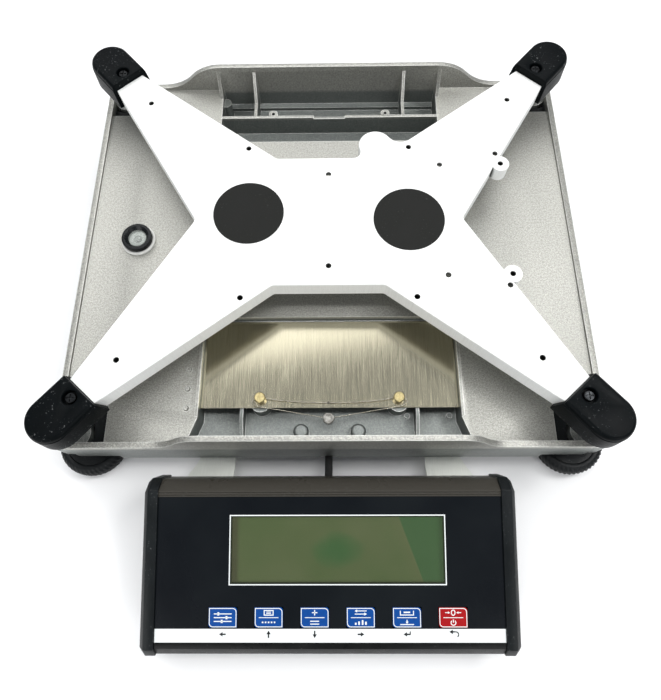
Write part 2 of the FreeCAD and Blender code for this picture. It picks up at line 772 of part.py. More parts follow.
def spider_frame():
    body = new_body("Frame")
    body_prism(body, frame_outline(), "frame_top - frame_skirt", "frame_skirt")
    flat_corners = (number("flat_x"), number("valley_x"))

    def wants_round(edge):
        across = abs(edge.Vertexes[0].X)
        return upright(edge) and (min(abs(across - corner) for corner in flat_corners) < 0.1 or across > 170)

    body_fillet(body, "5", wants_round)
    DOC.recompute()
    base = body.Tip
    floor = number("frame_top - frame_skirt")
    below = ["Face%d" % place for place, face in enumerate(base.Shape.Faces, 1)
             if abs(face.BoundBox.ZMax - floor) < 0.01]
    shell = body.newObject("PartDesign::Thickness", "Shell")
    shell.Base = (base, below)
    bind(shell, "Value", "frame_wall")
    shell.Reversed = True
    shell.Join = 1
    lug_holes = [("137.7", "50"), ("136.8", "-48.7")]
    rim_holes = [("134.4", "59.7"), ("133.8", "-58")]
    lugs = body_sketch(body, "XY_Plane", "frame_top")
    for across, up in lug_holes:
        body_circle(lugs, across, up, "7")
    body_circle(lugs, "0", "-flat_y + 9", "6")
    body_pad(body, lugs, "frame_skirt - 3", True)
    hands = [(hand_x, hand_y) for hand_x in ("", "-") for hand_y in ("", "-")]
    tapped = []
    for hand_x, hand_y in hands:
        tapped.append((hand_x + "tip_hole_x", hand_y + "tip_hole_y"))
        tapped.append((hand_x + "casting_hole_x", hand_y + "casting_hole_y"))
    bosses = body_sketch(body, "XY_Plane", "frame_top - 1")
    for across, up in tapped:
        body_circle(bosses, across, up, "tip_hole + 2.4")
    body_pad(body, bosses, "frame_skirt - 2", True)
    stop = body_sketch(body, "XY_Plane", "frame_top - 2")
    body_circle(stop, "0", "-flat_y + 9", "4.5")
    body_pad(body, stop, "frame_skirt + 2", True)
    holes = body_sketch(body, "XY_Plane", "frame_top")
    spots = [("0", "41.1"), ("0", "-41.1"), ("89", "49.4"), ("89", "-49.4")]
    spots += [(hand_x + "cap_screw_x", hand_y + "cap_screw_y") for hand_x, hand_y in hands]
    for across, up in spots:
        body_circle(holes, across, up, "tip_hole")
    for hand in ("", "-"):
        body_circle(holes, "cell_hole_x", hand + "cell_hole_y", "cell_clear")
        body_circle(holes, "-cell_hole_x", hand + "cell_hole_y", "5.5")
    body_pocket(body, holes, "frame_skirt + 1")
    blind = body_sketch(body, "XY_Plane", "frame_top")
    for across, up in lug_holes + rim_holes + tapped:
        body_circle(blind, across, up, "tip_hole")
    body_pocket(body, blind, "frame_skirt - 5")
    seats = body_sketch(body, "XY_Plane", "frame_top")
    for hand in ("", "-"):
        body_circle(seats, "cell_hole_x", hand + "cell_hole_y", "6.3")
    body_pocket(body, seats, "2.6")
    body_fillet(body, "1", lambda edge: level_at(edge, number("frame_top")) and edge.Length > 21)
    move(body, ["0", "platform_y", "0"])
    body.Label = "spider_frame"
    SUBPARTS.append(body)


def cap_outline(radius, back):
    """A D about the middle of its round end, open towards the middle of the platform."""
    return [
        ("-(%s)" % back, "-(%s)" % radius),
        ("0", "-(%s)" % radius, radius),
        (radius, "0", radius),
        ("0", radius),
        ("-(%s)" % back, radius),
    ]


def corner_cap(name, sides):
    """A moulded cap over the tip of one arm."""
    body = new_body("Cap")
    outline = cap_outline("cap_radius", "cap_straight")
    pad = body_prism(body, outline, "frame_top + cap_plate", "cap_plate + cap_skirt", True)
    pad.TaperAngle = 3.5
    top = number("frame_top + cap_plate")
    body_fillet(body, "2", lambda edge: level_at(edge, top) and edge.BoundBox.XMax > -20)
    hollow = body_sketch(body, "XY_Plane", "frame_top + 0.1")
    draw(hollow, cap_outline("cap_radius - cap_wall", "cap_straight + 4"))
    body_pocket(body, hollow, "cap_skirt + 1")
    recess_hole = body_sketch(body, "XY_Plane", "frame_top + cap_plate")
    body_circle(recess_hole, "-19.4", "0", "5.5")
    body_pocket(body, recess_hole, "cap_plate - 2")
    screw_hole = body_sketch(body, "XY_Plane", "frame_top + cap_plate")
    body_circle(screw_hole, "-19.4", "0", "2.3")
    body_pocket(body, screw_hole, "cap_plate + 1")
    side_x, side_y = sides
    angle = math.degrees(math.atan2(side_y * math.sin(math.radians(number("cap_angle"))),
                                    side_x * math.cos(math.radians(number("cap_angle")))))
    middle = [signed(side_x, "cap_x"), signed(side_y, "cap_y") + " + platform_y", "0"]
    move(body, middle, Rotation(Vector(0, 0, 1), angle))
    body.Label = "corner_cap_" + name
    SUBPARTS.append(body)


def cap_screws():
    """One pan-head screw through each cap into its arm."""
    screws = []
    for side_x, side_y in CORNERS.values():
        spot = [signed(side_x, "cap_screw_x"), signed(side_y, "cap_screw_y")]
        top = number("frame_top + 4.4")
        head = rounded(rod("4", "2.4", spot + ["frame_top + 2"]), "1", lambda edge: level_at(edge, top))
        slot = centred_box(["5.5", "1", "1.2"], spot + ["frame_top + 3.6"])
        cross = centred_box(["1", "5.5", "1.2"], spot + ["frame_top + 3.6"])
        shank = rod("tip_hole - 0.1", "10", spot + ["frame_top - 8"])
        screws.append(cut(fuse(head, shank), slot, cross))
    return on_platform(group(*screws), "cap_screws")


def cover_disc(name, spot):
    """A thin black disc over a pair of cell bolts."""
    disc = rod("disc_radius", "disc_sheet", spot + ["frame_top"])
    disc = rounded(disc, "0.3", lambda edge: level_at(edge, number("frame_top + disc_sheet")))
    return on_platform(disc, "cover_disc_" + name)


# ---------------------------------------------------------------------------------------------------
# Load cell and what holds it
# ---------------------------------------------------------------------------------------------------

CELL_BOTTOM = "deck_top + spacer"
CELL_TOP = "deck_top + spacer + cell_height"
FRAME_UNDERSIDE = "frame_top - frame_wall"


def load_cell():
    """An aluminium bar with two joined bores, bolted at its left end and loaded at its right end."""
    bar = centred_box(["cell_length", "cell_width", "cell_height"], ["0", "0", CELL_BOTTOM])
    bar = bevelled(bar, "0.8", lambda edge: runs_along(edge, 0))
    middle = "%s + cell_height / 2" % CELL_BOTTOM
    holes = [centred_box(["28", "cell_width + 2", "6"], ["0", "0", "%s - 3" % middle])]
    for hand in ("", "-"):
        holes.append(rod("7.5", "cell_width + 2", [hand + "14", "cell_width / 2 + 1", middle], ALONG_MINUS_Y))
        holes.append(rod("cell_bolt", "13", ["-cell_hole_x", hand + "cell_hole_y", CELL_BOTTOM + " - 1"]))
        holes.append(rod("cell_bolt + 0.05", "13", ["cell_hole_x", hand + "cell_hole_y", CELL_TOP + " - 12"]))
    return on_platform(cut(bar, *holes), "load_cell")


def cell_spacer(label, middle, foot, height):
    """The block between one end of the cell and what it is bolted to."""
    block = centred_box(["spacer_length", "cell_width", height], [middle, "0", foot])
    holes = []
    for hand in ("", "-"):
        holes.append(rod("cell_clear", "%s + 2" % height, [middle, hand + "cell_hole_y", "%s - 1" % foot]))
    return on_platform(cut(block, *holes), label)


def lower_cell_bolts():
    """Two hexagon bolts up through the deck and the lower spacer into the cell."""
    bolts = []
    seat = "deck_top - deck_sheet - 4"
    for hand in ("", "-"):
        spot = ["-cell_hole_x", hand + "cell_hole_y"]
        head = hexagon("10", "4", spot + ["%s - 4" % seat])
        shank = rod("cell_bolt", "%s + 11 - (%s)" % (CELL_BOTTOM, seat), spot + [seat])
        bolts.append(fuse(head, shank))
    return on_platform(group(*bolts), "lower_cell_bolts")


def upper_cell_bolts():
    """Two flat-head bolts down through the frame and the upper spacer into the cell."""
    bolts = []
    for hand in ("", "-"):
        spot = ["cell_hole_x", hand + "cell_hole_y"]
        head = rod("6", "2.4", spot + ["frame_top - 2.6"])
        key = hexagon("4", "2", spot + ["frame_top - 1.8"])
        shank = rod("cell_bolt", "frame_top - 2.6 - (%s - 11)" % CELL_TOP, spot + ["%s - 11" % CELL_TOP])
        bolts.append(cut(fuse(head, shank), key))
    return on_platform(group(*bolts), "upper_cell_bolts")


def stop_spots():
    """The four places of the stop screws, in the platform's X and Y."""
    return [[across + "stop_x", along + "stop_y"] for across in ("", "-") for along in ("", "-")]


def stop_screws():
    """Four screws that stop the platform just past its full travel."""
    screws = []
    foot = "deck_top - deck_sheet - 12"
    top = "%s - travel - 0.3" % FRAME_UNDERSIDE
    for spot in stop_spots():
        shank = rod("stop_screw", "%s - (%s)" % (top, foot), spot + [foot])
        screws.append(bevelled(shank, "0.5", lambda edge: level_at(edge, number(top))))
    return on_platform(group(*screws), "stop_screws")


def stop_nuts():
    """The lock nuts of the stop screws, on the deck."""
    nuts = []
    for spot in stop_spots():
        nut = hexagon("8", "4", spot + ["deck_top"])
        nuts.append(cut(nut, rod("stop_screw", "6", spot + ["deck_top - 1"])))
    return on_platform(group(*nuts), "stop_nuts")


# ---------------------------------------------------------------------------------------------------
# Front plate and its seal
# ---------------------------------------------------------------------------------------------------

def recess_plate():
    """The brushed plate over the front trough."""
    plate = box(
        ["2 * plate_half", "plate_front - plate_rear", "plate_sheet"],
        ["-plate_half", "-plate_front", "plate_top - plate_sheet"],
    )
    holes = [rod("1.9", "6", [x, "-seal_y", "plate_top - 4"]) for x in ("seal_x", "-seal_x")]
    holes.append(rod("1", "6", ["-0.8", "-135.1", "plate_top - 4"]))
    return on_platform(cut(plate, *holes), "recess_plate")


def seal_screws():
    """Two brass screws with a hole across the head for the seal's wire."""
    screws = []
    for x in ("seal_x", "-seal_x"):
        head = rod("seal_head", "5.5", [x, "-seal_y", "plate_top"])
        head = bevelled(head, "0.6", lambda edge: level_at(edge, number("plate_top + 5.5")))
        shank = rod("1.6", "10", [x, "-seal_y", "plate_top - 10"])
        slot = centred_box(["1", "10", "1.4"], [x, "-seal_y", "plate_top + 4.4"])
        across = rod("0.7", "12", ["%s - 6" % x, "-seal_y", "plate_top + 2.6"], ALONG_X)
        screws.append(cut(fuse(head, shank), slot, across))
    return on_platform(group(*screws), "seal_screws")


def route(points):
    """A line through the points whose corners are arcs as large as their two runs allow."""
    edges = []
    start = points[0]
    for before, corner, after in zip(points, points[1:], points[2:]):
        into = corner - before
        out = after - corner
        shorter = min(into.Length, out.Length)
        half_turn = into.getAngle(out) / 2
        trim = 0.45 * shorter
        into.normalize()
        out.normalize()
        entry = corner - into * trim
        leave = corner + out * trim
        radius = trim / math.tan(half_turn)
        bisector = (out - into).normalize()
        middle = corner + bisector * (radius / math.cos(half_turn) - radius)
        edges.append(Part.LineSegment(start, entry).toShape())
        edges.append(Part.Arc(entry, middle, leave).toShape())
        start = leave
    edges.append(Part.LineSegment(start, points[-1]).toShape())
    return Part.Wire(edges)


def tube(points, radius):
    """A round wire or lead along a route."""
    line = route(points)
    heading = (points[1] - points[0]).normalize()
    ring = Part.Wire(Part.makeCircle(radius, points[0], heading))
    solid = line.makePipeShell([ring], True, False)
    wanted = math.pi * radius * radius * line.Length
    if abs(solid.Volume - wanted) > 0.02 * wanted:
        raise ValueError("a tube came out with the wrong volume")
    return solid


def seal_wire():
    """Three strands of thin wire: one between the two screws and one from each screw to the seal."""
    height = number("plate_top + 2.6")
    seal_y = -number("seal_y")
    side = number("seal_x")
    inside = side - 2
    rest = number("plate_top") + 1.1
    strands = [[
        Vector(-inside, seal_y, height),
        Vector(-inside + 12, seal_y - 1.2, rest + 0.4),
        Vector(-12, seal_y - 3.4, rest - 0.2),
        Vector(16, seal_y - 3.2, rest),
        Vector(inside - 12, seal_y - 1.4, rest + 0.5),
        Vector(inside, seal_y, height),
    ]]
    for hand in (-1, 1):
        strands.append([
            Vector(hand * (side + 2), seal_y, height),
            Vector(hand * (side + 6.5), seal_y - 1.5, height + 0.2),
            Vector(hand * (side + 5), seal_y - 6.6, height),
            Vector(hand * (side - 8), seal_y - 9.4, height - 0.6),
            Vector(hand * 24, seal_y - 12.6, height - 1.4),
            Vector(hand * 3.5 - 0.7, seal_y - 15.2, height - 2.6),
        ])
    item = DOC.addObject("Part::Feature", "Wire")
    item.Shape = Part.makeCompound([tube(points, number("wire")) for points in strands])
    return on_platform(item, "seal_wire")


def lead_seal():
    """The small lead disc pressed on the wire."""
    disc = rod("4.7", "3.6", ["-0.7", "-seal_y - 15.5", "plate_top - 1.8"])
    disc = rounded(disc, "1.1", lambda edge: level_at(edge, edge.BoundBox.ZMin))
    return on_platform(disc, "lead_seal")


# ---------------------------------------------------------------------------------------------------
# Bubble level
# ---------------------------------------------------------------------------------------------------

def bubble_level():
    """The level on the left of the deck: its seat, its black bezel and its vial."""
    spot = ["-level_x", "level_y"]
    seat = rod("level_radius", "2", spot + ["deck_top"])
    on_platform(cut(seat, rod("level_bezel - 1", "4", spot + ["deck_top - 1"])), "level_seat")
    bezel = rod("level_bezel", "level_height - 2.05", spot + ["deck_top + 2.05"])
    foot = rod("level_bezel - 1.1", "2.5", spot + ["deck_top"])
    bezel = cut(fuse(bezel, foot), rod("7.5", "12", spot + ["deck_top + 1"]))
    on_platform(bezel, "level_bezel")
    vial = rod("7.4", "level_height - 2", spot + ["deck_top + 1.1"])
    vial = rounded(vial, "1", lambda edge: level_at(edge, number("deck_top + level_height - 0.9")))
    on_platform(vial, "level_vial")


# ---------------------------------------------------------------------------------------------------
# Indicator
# ---------------------------------------------------------------------------------------------------

def case_outline(grow):
    """The side view of the indicator's case, grown outwards by a margin; local Y and Z."""
    edge = "(%s)" % grow
    slant = "(%s * 0.45)" % edge
    return [
        ("case_back + " + edge, "-9 + " + slant),
        ("-4 + " + slant, edge),
        ("-(case_front - 5) - " + slant, edge),
        ("-case_front - " + edge, "-5 + " + slant),
        ("-case_front - " + edge, "-case_depth + 5 - " + slant),
        ("-(case_front - 5) - " + slant, "-case_depth - " + edge),
        ("-13 - " + slant, "-case_depth - " + edge),
        ("case_back + " + edge, "-case_depth + 6 - " + slant),
    ]


def key_middle(place):
    return "screen_x + (%s) * key_pitch" % (place - (KEYS - 1) / 2)


def front_openings(depth):
    """The cutters of the screen's window and of the keys' windows."""
    tools = [box(
        ["screen_length", "screen_width", depth],
        ["screen_x - screen_length / 2", "-screen_back - screen_width", "-(%s) + 1" % depth],
    )]
    for place in range(KEYS):
        spot = [key_middle(place), "-key_row", "-(%s) + 1" % depth]
        tools.append(centred_box(["key_length", "key_width", depth], spot))
    return tools


def indicator_housing():
    """The extruded shell of the indicator, open at both ends."""
    shell = prism(case_outline("0"), "YZ", "-case_half", "2 * case_half")
    inner = [
        ("case_back - case_wall", "-10"),
        ("-5", "-panel_sink - case_wall"),
        ("-(case_front - 6)", "-panel_sink - case_wall"),
        ("-(case_front - case_wall)", "-7.5"),
        ("-(case_front - case_wall)", "-case_depth + 6"),
        ("-(case_front - 6)", "-case_depth + case_wall"),
        ("-13.5", "-case_depth + case_wall"),
        ("case_back - case_wall", "-case_depth + 7.6"),
    ]
    hollow = prism(inner, "YZ", "-case_half - 1", "2 * case_half + 2")
    sink = box(
        ["2 * case_half + 2", "panel_front - panel_back + 0.4", "5"],
        ["-case_half - 1", "-panel_front - 0.2", "-panel_sink"],
    )
    groove = [box(["2 * case_half + 2", "0.7", "2"], ["-case_half - 1", y, "-0.6"]) for y in ("-5.4", "-7")]
    screw_holes = []
    for hand in ("", "-"):
        for along in ARM_SCREWS_UNDER_CASE:
            spot = [hand + "case_screw_x", along, "-case_depth - 2"]
            screw_holes.append(rod("arm_screw + 0.05", "8", spot))
    shell = cut(shell, hollow, sink, *(groove + front_openings("12") + screw_holes))
    rails = []
    for along in ("-case_front + 2", "-3.2"):
        rails.append(box(["2 * case_half", "4", "1.2"], ["-case_half", along, "board_top - 2.85"]))
    return on_indicator(fuse(shell, *rails), "indicator_housing")


def end_cap(name, hand):
    """The cap that closes one end of the case."""
    start = "case_half" if hand > 0 else "-case_half - end_cap"
    cap = prism(case_outline("end_proud"), "YZ", start, "end_cap")
    outer = number("case_half + end_cap")

    def on_outer_face(edge):
        reach = edge.BoundBox
        return abs(abs(reach.XMin) - outer) < 0.01 and reach.XLength < 0.01

    cap = bevelled(cap, "3.2", on_outer_face)
    outside = "case_half + end_cap"
    holes = []
    for y, z in END_CAP_SCREWS:
        foot = [outside + " - 1.6" if hand > 0 else "-(%s) - 1" % outside, str(y), str(z)]
        holes.append(rod("3.1", "2.6", foot, ALONG_X))
    return on_indicator(cut(cap, *holes), "end_cap_" + name)


def end_cap_screws():
    """Four screws in each end cap."""
    screws = []
    for hand in (1, -1):
        for y, z in END_CAP_SCREWS:
            start = "case_half + end_cap - 1.6" if hand > 0 else "-(case_half + end_cap)"
            head = rod("2.9", "1.6", [start, str(y), str(z)], ALONG_X)
            slot = "case_half + end_cap - 0.7" if hand > 0 else "-(case_half + end_cap) - 0.1"
            bar = box(["0.8", "4", "0.8"], [slot, str(y - 2), str(z - 0.4)])
            cross = box(["0.8", "0.8", "4"], [slot, str(y - 0.4), str(z - 2)])
            screws.append(cut(head, bar, cross))
    return on_indicator(group(*screws), "end_cap_screws")


def front_panel():
    """The printed sheet on the face, with windows for the screen and the keys."""
    sheet = box(
        ["2 * case_half - 0.4", "panel_front - panel_back", "panel_sheet"],
        ["-case_half + 0.2", "-panel_front", "-panel_sink"],
    )
    return on_indicator(cut(sheet, *front_openings("4")), "front_panel")


def screen_window():
    """The clear window over the screen."""
    window = box(
        ["screen_length - 0.2", "screen_width - 0.2", "panel_sheet - 0.1"],
        ["screen_x - screen_length / 2 + 0.1", "-screen_back - screen_width + 0.1", "-panel_sink"],
    )
    return on_indicator(group(window), "screen_window")


def screen_module():
    """The liquid-crystal screen: its glass in the window and its frame behind the wall."""
    middle = "-screen_back - screen_width / 2"
    glass = centred_box(["screen_length - 2", "screen_width - 2", "2.6"], ["screen_x", middle, "-4.2"])
    frame = centred_box(["screen_length + 6", "screen_width + 6", "2.9"], ["screen_x", middle, "board_top"])
    return on_indicator(fuse(glass, frame), "screen_module")


def circuit_board():
    board = box(
        ["2 * case_half - 6", "case_front - 8", "1.6"],
        ["-case_half + 3", "-case_front + 3.4", "board_top - 1.6"],
    )
    chips = [centred_box(size, spot) for size, spot in (
        (["18", "18", "2"], ["-70", "-40", "board_top - 3.6"]),
        (["10", "16", "2.2"], ["-96", "-66", "board_top - 3.8"]),
        (["12", "9", "5"], ["-98", "-24", "board_top - 6.6"]),
    )]
    return on_indicator(fuse(board, *chips), "circuit_board")


def key_domes():
    """The spring domes under the keys."""
    domes = []
    for place in range(KEYS):
        domes.append(cone("4", "2.6", "0.45", [key_middle(place), "-key_row", "board_top"]))
    return on_indicator(group(*domes), "key_domes")


def battery():
    cells = [rod("9", "64", ["2", along, "-23.6"], ALONG_X) for along in ("-40", "-59", "-78")]
    tray = box(["70", "60", "3"], ["-1", "-89", "-33.4"])
    return on_indicator(fuse(tray, *cells), "battery_pack")


def key(place):
    """One key: its face in the panel's window and its stem over the dome."""
    body = new_body("Key")
    face = body_sketch(body, "XY_Plane", "-0.1")
    half_x = "(key_length / 2 - key_gap)"
    half_y = "(key_width / 2 - key_gap)"
    signs = (("-", "-"), ("", "-"), ("", ""), ("-", ""))
    draw(face, [(across + half_x, along + half_y) for across, along in signs])
    body_pad(body, face, "2.4", True)
    body_fillet(body, "2", lambda edge: upright(edge) and edge.Vertexes[0].X * edge.Vertexes[0].Y > 0)
    body_fillet(body, "0.3", lambda edge: level_at(edge, -0.1))
    stem = body_sketch(body, "XY_Plane", "-2.4")
    body_circle(stem, "0", "0", "2.5")
    body_pad(body, stem, "-board_top - 1.0 - 2.4", True)
    lean = Rotation(Vector(1, 0, 0), number("face_slope"))
    body.Placement = Placement(Vector(0, 0, 0), lean)
    bind(body, "Placement.Base.x", key_middle(place))
    bind(body, "Placement.Base.y", "platform_y - face_y - key_row * cos(face_slope * 1 deg)")
    bind(body, "Placement.Base.z", "face_z - key_row * sin(face_slope * 1 deg)")
    body.Label = "key_%d" % (place + 1)
    SUBPARTS.append(body)


def on_slope(along, out):
    """Rules for the platform's Y and Z of a point given in the face's local Y and Z."""
    lean = "face_slope * 1 deg"
    across = "-face_y + (%s) * cos(%s) - (%s) * sin(%s)" % (along, lean, out, lean)
    up = "face_z + (%s) * sin(%s) + (%s) * cos(%s)" % (along, lean, out, lean)
    return across, up


def arm(name, hand):
    """A bent strip of steel from under the base to under the indicator."""
    heel = on_slope("-16", "-case_depth")
    toe = on_slope("-62", "-case_depth")
    toe_below = on_slope("-62", "-case_depth - arm_sheet")
    heel_below = on_slope("-16", "-case_depth - arm_sheet")
    outline = [
        ("-arm_rear", "base_bottom"),
        ("-arm_front", "base_bottom"),
        heel,
        toe,
        toe_below,
        heel_below,
        ("-arm_front + 0.5", "base_bottom - arm_sheet"),
        ("-arm_rear", "base_bottom - arm_sheet"),
    ]
    start = "arm_inner" if hand > 0 else "-arm_outer"
    strip = prism(outline, "YZ", start, "arm_outer - arm_inner")
    sign = "" if hand > 0 else "-"
    slant = [
        (sign + "arm_narrow", "-arm_rear + 1"),
        (sign + "arm_narrow", "-arm_front + 5"),
        ("%s(arm_outer + 0.01)" % sign, "-arm_front - 9"),
        ("%s(arm_outer + 3)" % sign, "-arm_front - 9"),
        ("%s(arm_outer + 3)" % sign, "-arm_rear + 1"),
    ]
    holes = [prism(slant, "XY", "0", "40")]
    for y in ARM_SCREWS_UNDER_BASE:
        holes.append(rod("arm_screw + 0.15", "8", [signed(hand, "arm_screw_x"), y, "base_bottom - 5"]))
    lean = Rotation(Vector(1, 0, 0), number("face_slope"))
    for along in ARM_SCREWS_UNDER_CASE:
        across, up = on_slope(along, "-case_depth - arm_sheet - 2")
        holes.append(rod("arm_screw + 0.15", "6", [signed(hand, "case_screw_x"), across, up], lean))
    return on_platform(cut(strip, *holes), "bracket_arm_" + name)


def bracket_screws():
    """Two screws from each arm into the base and two into the indicator."""
    screws = []
    lean = Rotation(Vector(1, 0, 0), number("face_slope"))
    for hand in (1, -1):
        for y in ARM_SCREWS_UNDER_BASE:
            spot = [signed(hand, "arm_screw_x"), y]
            head = rod("3.8", "2.4", spot + ["base_bottom - arm_sheet - 2.4"])
            shank = rod("arm_screw", "arm_sheet + 7", spot + ["base_bottom - arm_sheet"])
            screws.append(fuse(head, shank))
        for along in ARM_SCREWS_UNDER_CASE:
            across = signed(hand, "case_screw_x")
            under_head = on_slope(along, "-case_depth - arm_sheet - 2.2")
            under_arm = on_slope(along, "-case_depth - arm_sheet")
            head = rod("3.8", "2.2", [across, *under_head], lean)
            shank = rod("arm_screw", "arm_sheet + 4", [across, *under_arm], lean)
            screws.append(fuse(head, shank))
    return on_platform(group(*screws), "bracket_screws")


# ---------------------------------------------------------------------------------------------------
# Lead from the load cell to the indicator
# ---------------------------------------------------------------------------------------------------

def gland_frame():
    """The middle of the case's lower back slant and the way it faces, in the platform's Y and Z."""
    slope = math.radians(number("face_slope"))
    top = (number("case_back"), number("-case_depth + 6"))
    low = (-13.0, number("-case_depth"))
    along = ((top[0] + low[0]) / 2, (top[1] + low[1]) / 2)
    run = math.hypot(top[0] - low[0], top[1] - low[1])
    facing = ((top[1] - low[1]) / run, -(top[0] - low[0]) / run)

    def turned(pair):
        return (pair[0] * math.cos(slope) - pair[1] * math.sin(slope),
                pair[0] * math.sin(slope) + pair[1] * math.cos(slope))

    spot = turned(along)
    out = turned(facing)
    middle = Vector(number("lead_x"), spot[0] - number("face_y"), spot[1] + number("face_z"))
    return middle, Vector(0, out[0], out[1])


def lead_gland():
    """The gland where the lead enters the indicator."""
    middle, out = gland_frame()
    length = number("gland_length")
    nut = Part.makeCylinder(6, 3, middle, out)
    sleeve = Part.makeCone(5, 3.9, length - 3, middle + out * 3, out)
    hole = Part.makeCylinder(number("lead_radius"), length + 2, middle - out, out)
    item = DOC.addObject("Part::Feature", "Gland")
    item.Shape = nut.fuse(sleeve).cut(hole).removeSplitter()
    return on_platform(item, "lead_gland")


def lead_points():
    """The route of the lead from the side of the load cell to inside the gland."""
    middle, out = gland_frame()
    x = number("lead_x")
    cell_side = -number("cell_width") / 2
    hole_y = number("lead_hole_y")
    return [
        Vector(x, cell_side, 64),
        Vector(x, hole_y + 8, 64),
        Vector(x, hole_y, 49),
        Vector(x, hole_y - 2.5, 28),
        Vector(x, -62, 16.5),
        Vector(x, -92, 15.5),
        Vector(x, -125, 12),
        Vector(x, -161, 9),
        middle + out * (number("gland_length") + 14),
        middle,
    ]


def signal_lead():
    item = DOC.addObject("Part::Feature", "Lead")
    item.Shape = tube(lead_points(), number("lead_radius"))
    return on_platform(item, "signal_lead")


def deck_grommet():
    """The rubber ring where the lead goes down through the deck."""
    spot = ["lead_x", "lead_hole_y"]
    neck = rod("grommet_radius", "deck_sheet + 1", spot + ["deck_top - deck_sheet"])
    collar = rod("grommet_radius + 2", "1.5", spot + ["deck_top"])
    ring = fuse(neck, collar)
    return on_platform(cut(ring, rod("grommet_radius - 1.7", "12", spot + ["deck_top - 8"])), "deck_grommet")


def lead_clip():
    """The clip that holds the lead under the front trough."""
    ring = rod("4.8", "8", ["lead_x", "-121", "12"], ALONG_MINUS_Y)
    stem = centred_box(["6", "8", "recess_floor - recess_wall - 15"], ["lead_x", "-125", "15"])
    hole = rod("3.5", "12", ["lead_x", "-119", "12"], ALONG_MINUS_Y)
    return on_platform(cut(fuse(ring, stem), hole), "lead_clip")


# ---------------------------------------------------------------------------------------------------
# The whole scale
# ---------------------------------------------------------------------------------------------------

def build():
    base_casting()
    for name, sides in CORNERS.items():
        foot_pad(name, sides)
        foot_wheel(name, sides)
        foot_stud(name, sides)
        corner_cap(name, sides)
    foot_sockets()
    spider_frame()
    cap_screws()
    cover_disc("left", ["-disc_x", "5.6"])
    cover_disc("right", ["disc_x", "-1"])
    load_cell()
    cell_spacer("lower_spacer", "-cell_hole_x", "deck_top", "spacer")
    cell_spacer("upper_spacer", "cell_hole_x", CELL_TOP, "frame_top - frame_wall - (%s)" % CELL_TOP)
    lower_cell_bolts()
    upper_cell_bolts()
    stop_screws()
    stop_nuts()
    recess_plate()
    seal_screws()
    seal_wire()
    lead_seal()
    bubble_level()
    indicator_housing()
    end_cap("left", -1)
    end_cap("right", 1)
    end_cap_screws()
    front_panel()
    screen_window()
    screen_module()
    circuit_board()
    key_domes()
    battery()
    for place in range(KEYS):
        key(place)
    arm("left", -1)
    arm("right", 1)
    bracket_screws()
    lead_gland()
    signal_lead()
    deck_grommet()
    lead_clip()
    DOC.recompute()


def check():
    """Stop if any object failed or any sub-part has no sound solid."""
    failed = [item.Label for item in DOC.Objects if "Invalid" in item.State or "Error" in item.State]
    for item in SUBPARTS:
        if item.Shape.isNull() or not item.Shape.isValid() or not item.Shape.Solids:
            failed.append(item.Label)
    if failed:
        raise RuntimeError("failed: " + ", ".join(failed))


def export():
    os.makedirs("parts", exist_ok=True)
    for item in SUBPARTS:
        item.Shape.exportStep("parts/%s.step" % item.Label)


def report():
    """Print the size of the whole and of each sub-part."""
    whole = FreeCAD.BoundBox()
    for item in SUBPARTS:
        whole.add(item.Shape.BoundBox)
        print("%-24s %2d solids %9.2f cm3" % (item.Label, len(item.Shape.Solids), item.Shape.Volume / 1000))
    print("whole", whole)


build()
check()
export()
report()
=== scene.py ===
import json
import math

import bmesh
import bpy
from mathutils import Matrix, Vector

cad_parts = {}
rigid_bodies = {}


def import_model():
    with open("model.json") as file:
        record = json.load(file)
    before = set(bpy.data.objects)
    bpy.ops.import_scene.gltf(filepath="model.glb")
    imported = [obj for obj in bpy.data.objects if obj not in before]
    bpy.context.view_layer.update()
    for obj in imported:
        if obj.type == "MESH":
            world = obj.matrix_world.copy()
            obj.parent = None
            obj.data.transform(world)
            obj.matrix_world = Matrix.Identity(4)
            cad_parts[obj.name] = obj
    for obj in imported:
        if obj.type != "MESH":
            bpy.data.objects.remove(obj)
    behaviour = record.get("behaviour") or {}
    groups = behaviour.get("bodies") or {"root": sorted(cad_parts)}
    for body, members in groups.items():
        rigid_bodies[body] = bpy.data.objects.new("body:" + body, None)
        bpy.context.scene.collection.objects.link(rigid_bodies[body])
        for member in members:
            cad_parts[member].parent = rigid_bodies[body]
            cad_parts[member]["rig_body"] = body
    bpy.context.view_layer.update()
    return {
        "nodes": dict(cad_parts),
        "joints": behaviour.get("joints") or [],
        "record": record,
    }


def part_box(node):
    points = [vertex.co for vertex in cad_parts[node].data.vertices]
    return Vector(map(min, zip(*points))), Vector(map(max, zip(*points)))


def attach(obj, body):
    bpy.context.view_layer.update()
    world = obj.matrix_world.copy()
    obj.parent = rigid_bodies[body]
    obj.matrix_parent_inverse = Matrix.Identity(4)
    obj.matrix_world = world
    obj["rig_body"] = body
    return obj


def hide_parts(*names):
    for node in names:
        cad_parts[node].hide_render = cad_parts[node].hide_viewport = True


# The looks of an animal weighing scale with its pan lifted off.  Every length is in metres, in the
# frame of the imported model, and MM turns millimetres into metres.  Pieces of the indicator are drawn
# on its face: across it (X), up its slope (Y) and out of it (Z), and FACE leans them into place.

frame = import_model()
NODES = frame["nodes"]
MM = 0.001


# ---------------------------------------------------------------------------------------------------
# Where things are, from the frame
# ---------------------------------------------------------------------------------------------------

def joint(name):
    return next(item for item in frame["joints"] if item["name"] == name)


def box_on_face(node):
    """Lowest and highest corner of a node, measured along the face of the indicator."""
    points = [UNLEAN @ corner.co for corner in NODES[node].data.vertices]
    low = Vector([min(point[axis] for point in points) for axis in range(3)])
    high = Vector([max(point[axis] for point in points) for axis in range(3)])
    return low, high


